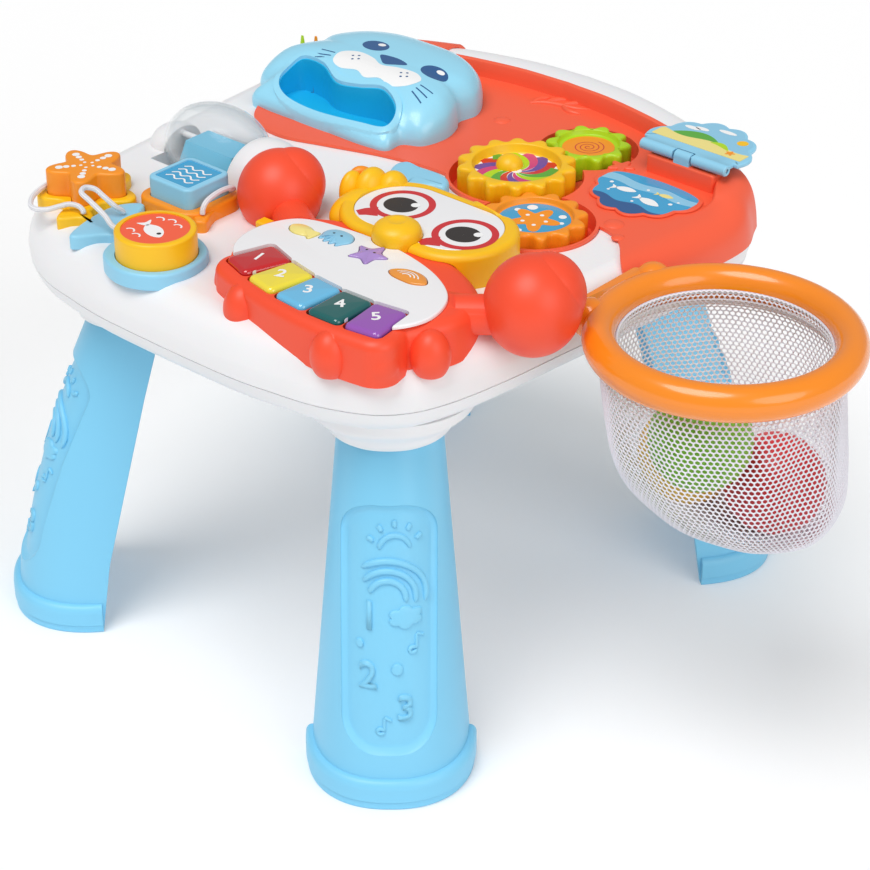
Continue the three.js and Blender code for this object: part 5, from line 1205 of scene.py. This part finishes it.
def strip(outline, low, high, height, columns=90):
    """The part of an outline's inside between two curves that give y for each x."""
    left, right = outline[:, 0].argmin(), outline[:, 0].argmax()
    ring = np.roll(outline, -left, axis=0)
    turn = (right - left) % len(outline)
    under, over = ring[:turn + 1], np.vstack([ring[turn:], ring[:1]])[::-1]
    x = np.linspace(outline[left, 0], outline[right, 0], columns)[1:-1]
    side = lambda line: np.interp(x, np.maximum.accumulate(line[:, 0]), line[:, 1])
    bottom, top = np.maximum(side(under), low(x)), np.minimum(side(over), high(x))
    keep = top > bottom + 0.05
    y = bottom[keep] + (top - bottom)[keep] * np.linspace(0, 1, 4)[:, None]
    return sheet(np.dstack([np.broadcast_to(x[keep], y.shape), y]), height)


def level(y):
    return lambda x: np.full(np.shape(x), float(y))


PAGE_THICK, PIN_HOLE = 3.6, 1.8
PAGE_TOP = HINGE_Z + PAGE_THICK
PAGE_LINE = scallop(PAGE_W, PAGE_D)
page = leaf("page_leaf", PAGE_LINE + PAGE, HINGE_Z, PAGE_TOP, 1.2)
base = rounded_box(PAGE_W * 0.46, PAGE_D * 0.2, 2) + PAGE + [0, PAGE_D * 0.15]
carve(page, [leaf("base", base, HINGE_Z, PAGE_TOP, 1), knuckle(-0.46, -0.1, 4.4), knuckle(0.1, 0.46, 4.4)],
      "UNION")
carve(page, [knuckle(-0.1, 0.1, 5.0), knuckle(-1, 1, PIN_HOLE)])
finish_piece(page, "sky_blue_plastic", "flip_page", "flip_page")
plinth = rounded_box(PAGE_W * 0.36, 5.6, 2) + PAGE
finish_piece(pillow("hinge_plinth", plinth, PANEL_TOP - 1.2, HINGE_Z - 5.2, 1.5, 5), "coral_plastic")
foot = prism("hinge_foot", rounded_box(PAGE_W * 0.085, 4.4, 1) + PAGE, PANEL_TOP - 1.2, HINGE_Z)
carve(foot, [knuckle(-0.085, 0.085, 4.4)], "UNION")
finish_piece(carve(foot, [knuckle(-1, 1, PIN_HOLE)]), "sky_blue_plastic")

page_sheet = shrunk(counterclockwise(PAGE_LINE), 0.92)
beach = lambda x: 27 + 2.5 * np.sin(x / 8 + 1)
PAGE_MARKS = [
    ("page_sky", "button_blue", strip(page_sheet, level(13.5), level(99), PAGE_TOP + 0.06)),
    ("page_sand", "button_cream", strip(page_sheet, level(13.5), beach, PAGE_TOP + 0.1)),
    ("page_hill", "ink_green", strip(
        page_sheet, beach, lambda x: 38 - ((x + 8) / 6.5) ** 2, PAGE_TOP + 0.12)),
    ("page_bush", "lime_plastic", strip(
        page_sheet, lambda x: beach(x) - 2, lambda x: 32 - ((x - 12) / 4) ** 2, PAGE_TOP + 0.14)),
    ("page_sun", "yellow_plastic", disc(circle(4.5, 40, (24, 42)), PAGE_TOP + 0.1)),
    ("page_star", "orange_plastic", disc(star_line(4.2, 0.24, 60) + [27, 21], PAGE_TOP + 0.16))]
for name, ink, mark in PAGE_MARKS:
    printed(name, [moved(mark, [*PAGE, 0])], ink, "print_blue", "flip_page")
clouds = [disc(oval(PAGE + [x, y], wide, 2.6), PAGE_TOP + 0.14)
          for x, y, wide in ((-22, 41, 7), (-15, 44, 6), (4, 51, 8))]
printed("page_clouds", clouds, "ink_white", "white_gloss", "flip_page")

t = np.linspace(0, np.pi, 80)[1:-1]
back = np.stack([PAGE_W / 2 * np.cos(t), PAGE_D * (0.17 * np.sin(t) - 0.12)], axis=1)
shape = np.vstack([-PAGE_LINE, back]) - [0, 4.4 * 1.5]
WINDOW = PANEL_TOP + GAP + 1.6
window = pillow("picture_rim", shape + PICTURE, PANEL_TOP + GAP, WINDOW, 0.8, 6, 45)
finish_piece(carve(window, wells(GAP, 300)), "coral_plastic", "picture_window")
sea = shrunk(shape, 0.93)
PICTURE_MARKS = [
    ("picture_water", "print_blue", strip(sea, level(-99), level(99), WINDOW + 0.05)),
    ("picture_deep", "ink_navy", strip(
        sea, level(-99), lambda x: -51 + 2 * np.sin(x / 5), WINDOW + 0.08)),
    ("picture_light", "button_blue", strip(
        sea, lambda x: -27 + 1.5 * np.sin(x / 6), lambda x: -17 + 1.5 * np.sin(x / 7), WINDOW + 0.08))]
swimmers = ((-14, -34, 1.0, 0.2, "ink_white"), (12, -40, 1.15, -0.15, "ink_white"),
            (16, -24, 0.75, 0.1, "button_cream"))
for k, (x, y, size, turn, ink) in enumerate(swimmers):
    marks = fish([[-8, 0], [-4, 3.2], [1, 4], [6, 2.4], [9, 0], [6, -2.2], [1, -3.6], [-4, -2.8]],
                 [[-7, 0], [-12, 3.6], [-10.6, 0], [-12, -3.6]], (60, 40), WINDOW + 0.13, turn, size,
                 (x, y))
    PICTURE_MARKS += [(f"picture_{part}_{k}", ink, mark) for part, mark in zip(("fish", "tail"), marks)]
for name, ink, mark in PICTURE_MARKS:
    printed(name, [moved(mark, [*PICTURE, 0])], ink, "print_blue")
spots = ((-30, -30, 1.6), (-24, -42, 1.2), (27, -33, 1.7), (30, -27, 1.1), (0, -24, 1.3), (2, -47, 1.2))
printed("picture_bubbles", dots(PICTURE, WINDOW + 0.15, spots, 24, 4), "ink_white", "white_gloss")

# Moulded reliefs on the coral panel
relief = pillow("panel_star", star_line(11, 0.24, 100) + [115.5, 132.2], DECK, PANEL_TOP + 1.6, 1.6, 6, 70)
finish_piece(relief, "coral_plastic")
SPRIGS = [
    [[-16, 181], [-6, 189], [6, 193], [20, 196], [30, 203]], [[-6, 189], [-3, 199], [4, 206]],
    [[6, 193], [14, 204], [24, 212]], [[-14, 183], [-13, 193], [-9, 200]], [[8, 193], [20, 188], [30, 190]]]
sprig_thick = 2.4 * np.sqrt(1.02 - np.linspace(-1, 1, 40) ** 2)
sprigs = [tube("sprig", at_height(spline(line, 40, closed=False), PANEL_TOP), sprig_thick, 14)
          for line in SPRIGS]
finish_piece(merge("panel_coral", sprigs), "coral_plastic")


# Rattle drum: its wall bulges as part of an ellipse

BULK, BEAD_ROOM, BEAD_R = 0.8, 28, 2.4


def barrel(radius, reach, count=40):
    t = np.linspace(-1, 1, count)
    return np.column_stack([radius * np.sqrt(1 - (BULK * t) ** 2), t * reach])


bore, wall, half_drum = 2.8, 2, DRUM_L / 2
profile = np.vstack([
    [[bore, -half_drum]], barrel(DRUM_R, half_drum), [[bore, half_drum], [bore, half_drum - wall]],
    barrel(DRUM_R - wall, half_drum - wall)[::-1], [[bore, wall - half_drum], [bore, -half_drum]]])
finish_piece(lathe("drum_barrel", profile, DRUM, "x", 144), "clear_drum", "rattle_drum", "drum")
wedge = np.array([[-1.0, -0.7], [1.0, -0.7], [0.55, 0.12], [-0.55, 0.12]]) * DRUM_R * 0.66
wedge = np.concatenate([np.linspace(wedge[k], wedge[(k + 1) % 4], 12, endpoint=False) for k in range(4)])
bars = [np.column_stack([np.full(48, DRUM[0] + x), wedge * s + DRUM[1:]]) for x, s in (
    (-23.4, 0.0001), (-23.4, 0.97), (-22.6, 1), (26.6, 1), (27.4, 0.97), (27.4, 0.0001))]
finish_piece(loft("drum_prism", bars, 30), "paddle_blue", "rattle_paddle", "drum")
spots = rng.uniform(-1, 1, (18, 2))
for k, ink in enumerate(["bead_red", "key_yellow", "lime_plastic"]):
    beads = []
    for x, turn in spots[k::3]:
        reach = DRUM_R * math.sqrt(1 - (BULK * BEAD_ROOM / half_drum * x) ** 2) - wall - BEAD_R - 0.4
        place = DRUM + [x * BEAD_ROOM, reach * math.sin(turn), -reach * math.cos(turn)]
        beads.append(ellipsoid("bead", place, [BEAD_R] * 3, 24, 16))
    finish_piece(merge(f"drum_beads_{k}", beads), "bead_red", None if k else "rattle_bead", "drum", ink)


# Basket: hoop, net and balls

HOOP_R, HOOP_WIDE, HOOP_TALL = 86, 11.7, 13
HOOP = np.array([0.97 * HALF + 10 + HOOP_R + 1.17, -0.1 * FRONT])
HOOP_Z = DECK - 6.5
t = np.linspace(0, 2 * np.pi, 49)
profile = np.column_stack([HOOP_R + HOOP_WIDE * np.cos(t), HOOP_TALL * np.sin(t)])
finish_piece(lathe("hoop_tube", profile[::-1], [*HOOP, HOOP_Z], "z", 192, 60), "hoop_orange", "hoop_ring")
lobes = [ellipsoid("hoop_lobe", [HOOP[0] - 88, HOOP[1] + s * 36, HOOP_Z], [14, 14, 14.5]) for s in (-1, 1)]
pad = pillow("hoop_pad", rounded_box(8, 34.4, 6) + [HOOP[0] - 95.5, HOOP[1]], HOOP_Z - 11, HOOP_Z + 9.4, 4)
finish_piece(carve(pad, lobes, "UNION", 60), "hoop_orange")

# The bag's side: share of its depth, the middle's drift along x and y, and the radius, as shares
NET_DEEP = 128
NET_ROWS = np.array([
    [-0.1, 0, 0, 0.855], [-0.04, 0, 0, 0.865], [0.0, 0, 0, 0.92], [0.06, 0, 0, 0.975],
    [0.2, 0.01, 0.01, 0.975], [0.42, 0.03, 0.04, 0.97], [0.62, 0.06, 0.08, 0.95], [0.78, 0.1, 0.12, 0.9],
    [0.9, 0.13, 0.15, 0.78], [0.96, 0.16, 0.18, 0.6], [0.99, 0.18, 0.2, 0.32], [1.0, 0.19, 0.21, 0.1]])
NET_TOP = HOOP_Z - HOOP_TALL - GAP
NET_CURVE = spline(NET_ROWS * [NET_DEEP, HOOP_R, HOOP_R, HOOP_R], 400, closed=False, power=0.0)
NET_RUN = run_along(NET_CURVE[:, [0, 3]])


def net_point(turn, run, grow=0.0):
    """Places on the bag by turn and by distance down its side, with soft folds that deepen below."""
    drop, cx, cy, radius = [np.interp(run, NET_RUN, NET_CURVE[:, k]) for k in range(4)]
    drop, turn = np.broadcast_arrays(drop, turn)
    deep = np.maximum(drop, 0) / NET_DEEP
    folds = 1 + 0.018 * deep * (1 - deep) * 4 * np.sin(9 * turn + 3 * deep) * (1 - 0.4 * np.sin(2 * turn))
    r = radius * folds + grow
    tilt = 1 + 0.13 * deep ** 2 * radius / HOOP_R * np.cos(turn - math.radians(35))
    x, y = HOOP[0] + cx + r * np.cos(turn), HOOP[1] + cy + r * np.sin(turn)
    return np.stack([x, y, NET_TOP - drop * tilt], axis=-1)


def knitted_net(name):
    """Long hexagonal holes: points of a brick grid are pushed up and down by turns, joined as faces
    of six points, and turned into strands."""
    around, down = ((122, 54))
    step = (NET_RUN[-1] - 5) / down
    col, row = np.meshgrid(np.arange(2 * around), np.arange(down + 1), indexing="xy")
    zig = np.where((col + row) % 2 == 0, 1.0, -1.0) * 0.17
    points = net_point(2 * np.pi * col / (2 * around), 1 + (row + zig) * step)
    low, left = np.meshgrid(np.arange(down), np.arange(2 * around), indexing="ij")
    pick = (low + left) % 2 == 0
    low, left = low[pick], left[pick]
    at = lambda r, c: r * 2 * around + c % (2 * around)
    faces = np.stack([at(low + up, left + side) for up, side in (
        (0, 0), (0, 1), (0, 2), (1, 2), (1, 1), (1, 0))], axis=1)
    ob = build(name, points.reshape(-1, 3), faces.tolist())
    modified(ob, "WIREFRAME", thickness=0.0015, use_even_offset=False, use_boundary=True, use_replace=True)
    shade(ob, 80)
    return ob


finish_piece(knitted_net("net_strands"), "net_white", "net_bag")
hem = net_point(np.linspace(0, 2 * np.pi, 193)[None, :], np.linspace(0, 3.4, 6)[:, None], 0.6)
finish_piece(grid("net_hem", hem), "net_white")
BALL_R = 36
for name, place in {"green": (12.9, -40.7, -55.5), "red": (40, 14, -105), "yellow": (-22, -3, -98)}.items():
    play_ball = ellipsoid("play_ball_" + name, np.array([*HOOP, HOOP_Z]) + place, [BALL_R] * 3, 128, 80)
    finish_piece(play_ball, "ball_" + name, "ball_" + name, "ball_" + name)


# Reliefs on the legs: the outer skin, sunk by the recess, as a height over the leg's own x and z

def leg_relief(name, sx, sy):
    """A sun with rays, three arcs below it, two dots, a cloud, two notes and three digits."""
    angle = leg_turn(sx, sy)
    turn_all = lambda p: turn_rings([p], angle)[0]
    parts = []

    def draw(x, z, radius):
        x = -np.asarray(x, float)
        line = np.column_stack([x, leg_skin(x, z, -RECESS) + 0.3, z])
        ends = np.sqrt(np.clip(1.04 - np.linspace(-1, 1, len(x)) ** 8, 0.04, 1))
        parts.append(tube("raised", turn_all(line), radius * ends, 10))

    def lump(outline):
        outline = outline * [-1, 1]
        middle = outline.mean(0)
        rings = [skin_ring(middle + (outline - middle) * share, height - RECESS) for share, height in (
            (1, -0.5), (1, 1.0), (0.95, 1.5), (0.86, 1.75), (0.5, 1.8), (0.02, 1.8))]
        parts.append(loft("raised", turn_rings(rings, angle), 50))

    sun_at, arcs_at = np.array([4, 189]), np.array([-1, 157])
    for bearing in (25, 57, 90, 123, 155):
        draw(*(sun_at + np.linspace(16, 21, 8)[:, None] * unit(math.radians(bearing))).T, 1.9)
    draw(*arc(sun_at, 11, 8, 172, 30).T, 2.1)
    for radius, end in ((27, 132), (20, 148), (13, 165)):
        draw(*arc(arcs_at, radius, -12, end, 36, 0.95).T, 2.5)
    for x, z, radius in ((-21, 124, 2.8), (6, 107, 4.2)):
        lump(circle(radius, 32, (x, z)))
    puffs = 0.82 + 0.24 * np.abs(np.sin(3 * np.linspace(0, 2 * np.pi, 60, endpoint=False)))[:, None]
    lump(oval((0, 0), 12, 7.5, count=60) * puffs + [12, 144])
    for x, z in ((17, 120), (-6, 60)):
        draw(*arc([x, z], 2.4, 0, 360, 24, 2.0 / 2.4).T, 1.5)
        draw(np.full(8, x + 2.6), np.linspace(z, z + 11, 8), 1.2)
        draw(np.linspace(x + 2.6, x + 8, 8), np.linspace(z + 11, z + 8, 8), 1.3)
    for text, x, z in (("1", -14, 144), ("2", -15, 101), ("3", 12, 77)):
        def bend(p):
            across, height = -(p[:, 0] + x), p[:, 1] + z
            return turn_all(np.column_stack([across, leg_skin(across, height, -RECESS) + p[:, 2], height]))

        digit = modified(letters(text, 27, 0.0), "SOLIDIFY", thickness=3.6, offset=0.0)
        parts.append(reshape(digit, bend))
    finish_piece(merge(name, parts), "leg_blue")


for name, (sx, sy) in LEG_PLACES.items():
    leg_relief(f"leg_{name}_relief", sx, sy)


# Solids that are shown as they are get their materials
KEPT = {
    "claw_peg": "yellow_plastic", "fin_green": "lime_plastic", "fin_orange": "orange_plastic",
    "fin_pink": "pink_plastic", "gear_axles": "white_plastic", "hinge_pin": "steel",
    "drum_axle": "white_plastic", "switch_pads": "pad_rubber", "circuit_board": "board_green",
    "speaker": "speaker_black", "battery_door": "white_plastic", "door_screw": "steel"}
for name, ink in KEPT.items():
    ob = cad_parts[name]
    ob.data.materials.clear()
    ob.data.materials.append(MATS[ink])
    shade(ob, 40)


# Floor, light and surroundings

bpy.ops.mesh.primitive_plane_add(size=14, location=(0, 0, -0.0004))
floor = bpy.context.active_object
floor.name = "floor"
floor.data.materials.append(paper())


def sun(name, bearing, height, strength, spread):
    """A wide, far light from a bearing in plan and a height above the floor; all angles in degrees."""
    data = bpy.data.lights.new(name, "SUN")
    data.energy, data.angle = strength, math.radians(spread)
    a, e = math.radians(bearing), math.radians(height)
    toward = Vector((math.cos(a) * math.cos(e), math.sin(a) * math.cos(e), math.sin(e)))
    ob = add(name, data)
    ob.location = toward * 3
    ob.rotation_euler = toward.to_track_quat("Z", "Y").to_euler()


sun("key_light", -88, 65, 1.8, 38)
sun("fill_light", -8, 28, 0.8, 40)

world = bpy.data.worlds.new("studio")
bpy.context.scene.world = world
world.use_nodes = True
tree = world.node_tree
rays = node(tree, "LightPath").outputs
seen = node(tree, "Math", {0: rays["Is Camera Ray"], 1: rays["Is Transmission Ray"]}, operation="MAXIMUM")
fill(next(n for n in tree.nodes if n.type == "BACKGROUND"), Color=(1.0, 1.0, 1.0, 1.0),
     Strength=between(tree, seen.outputs[0], 0.34, 1.0))

bpy.context.scene.view_settings.view_transform = "Standard"
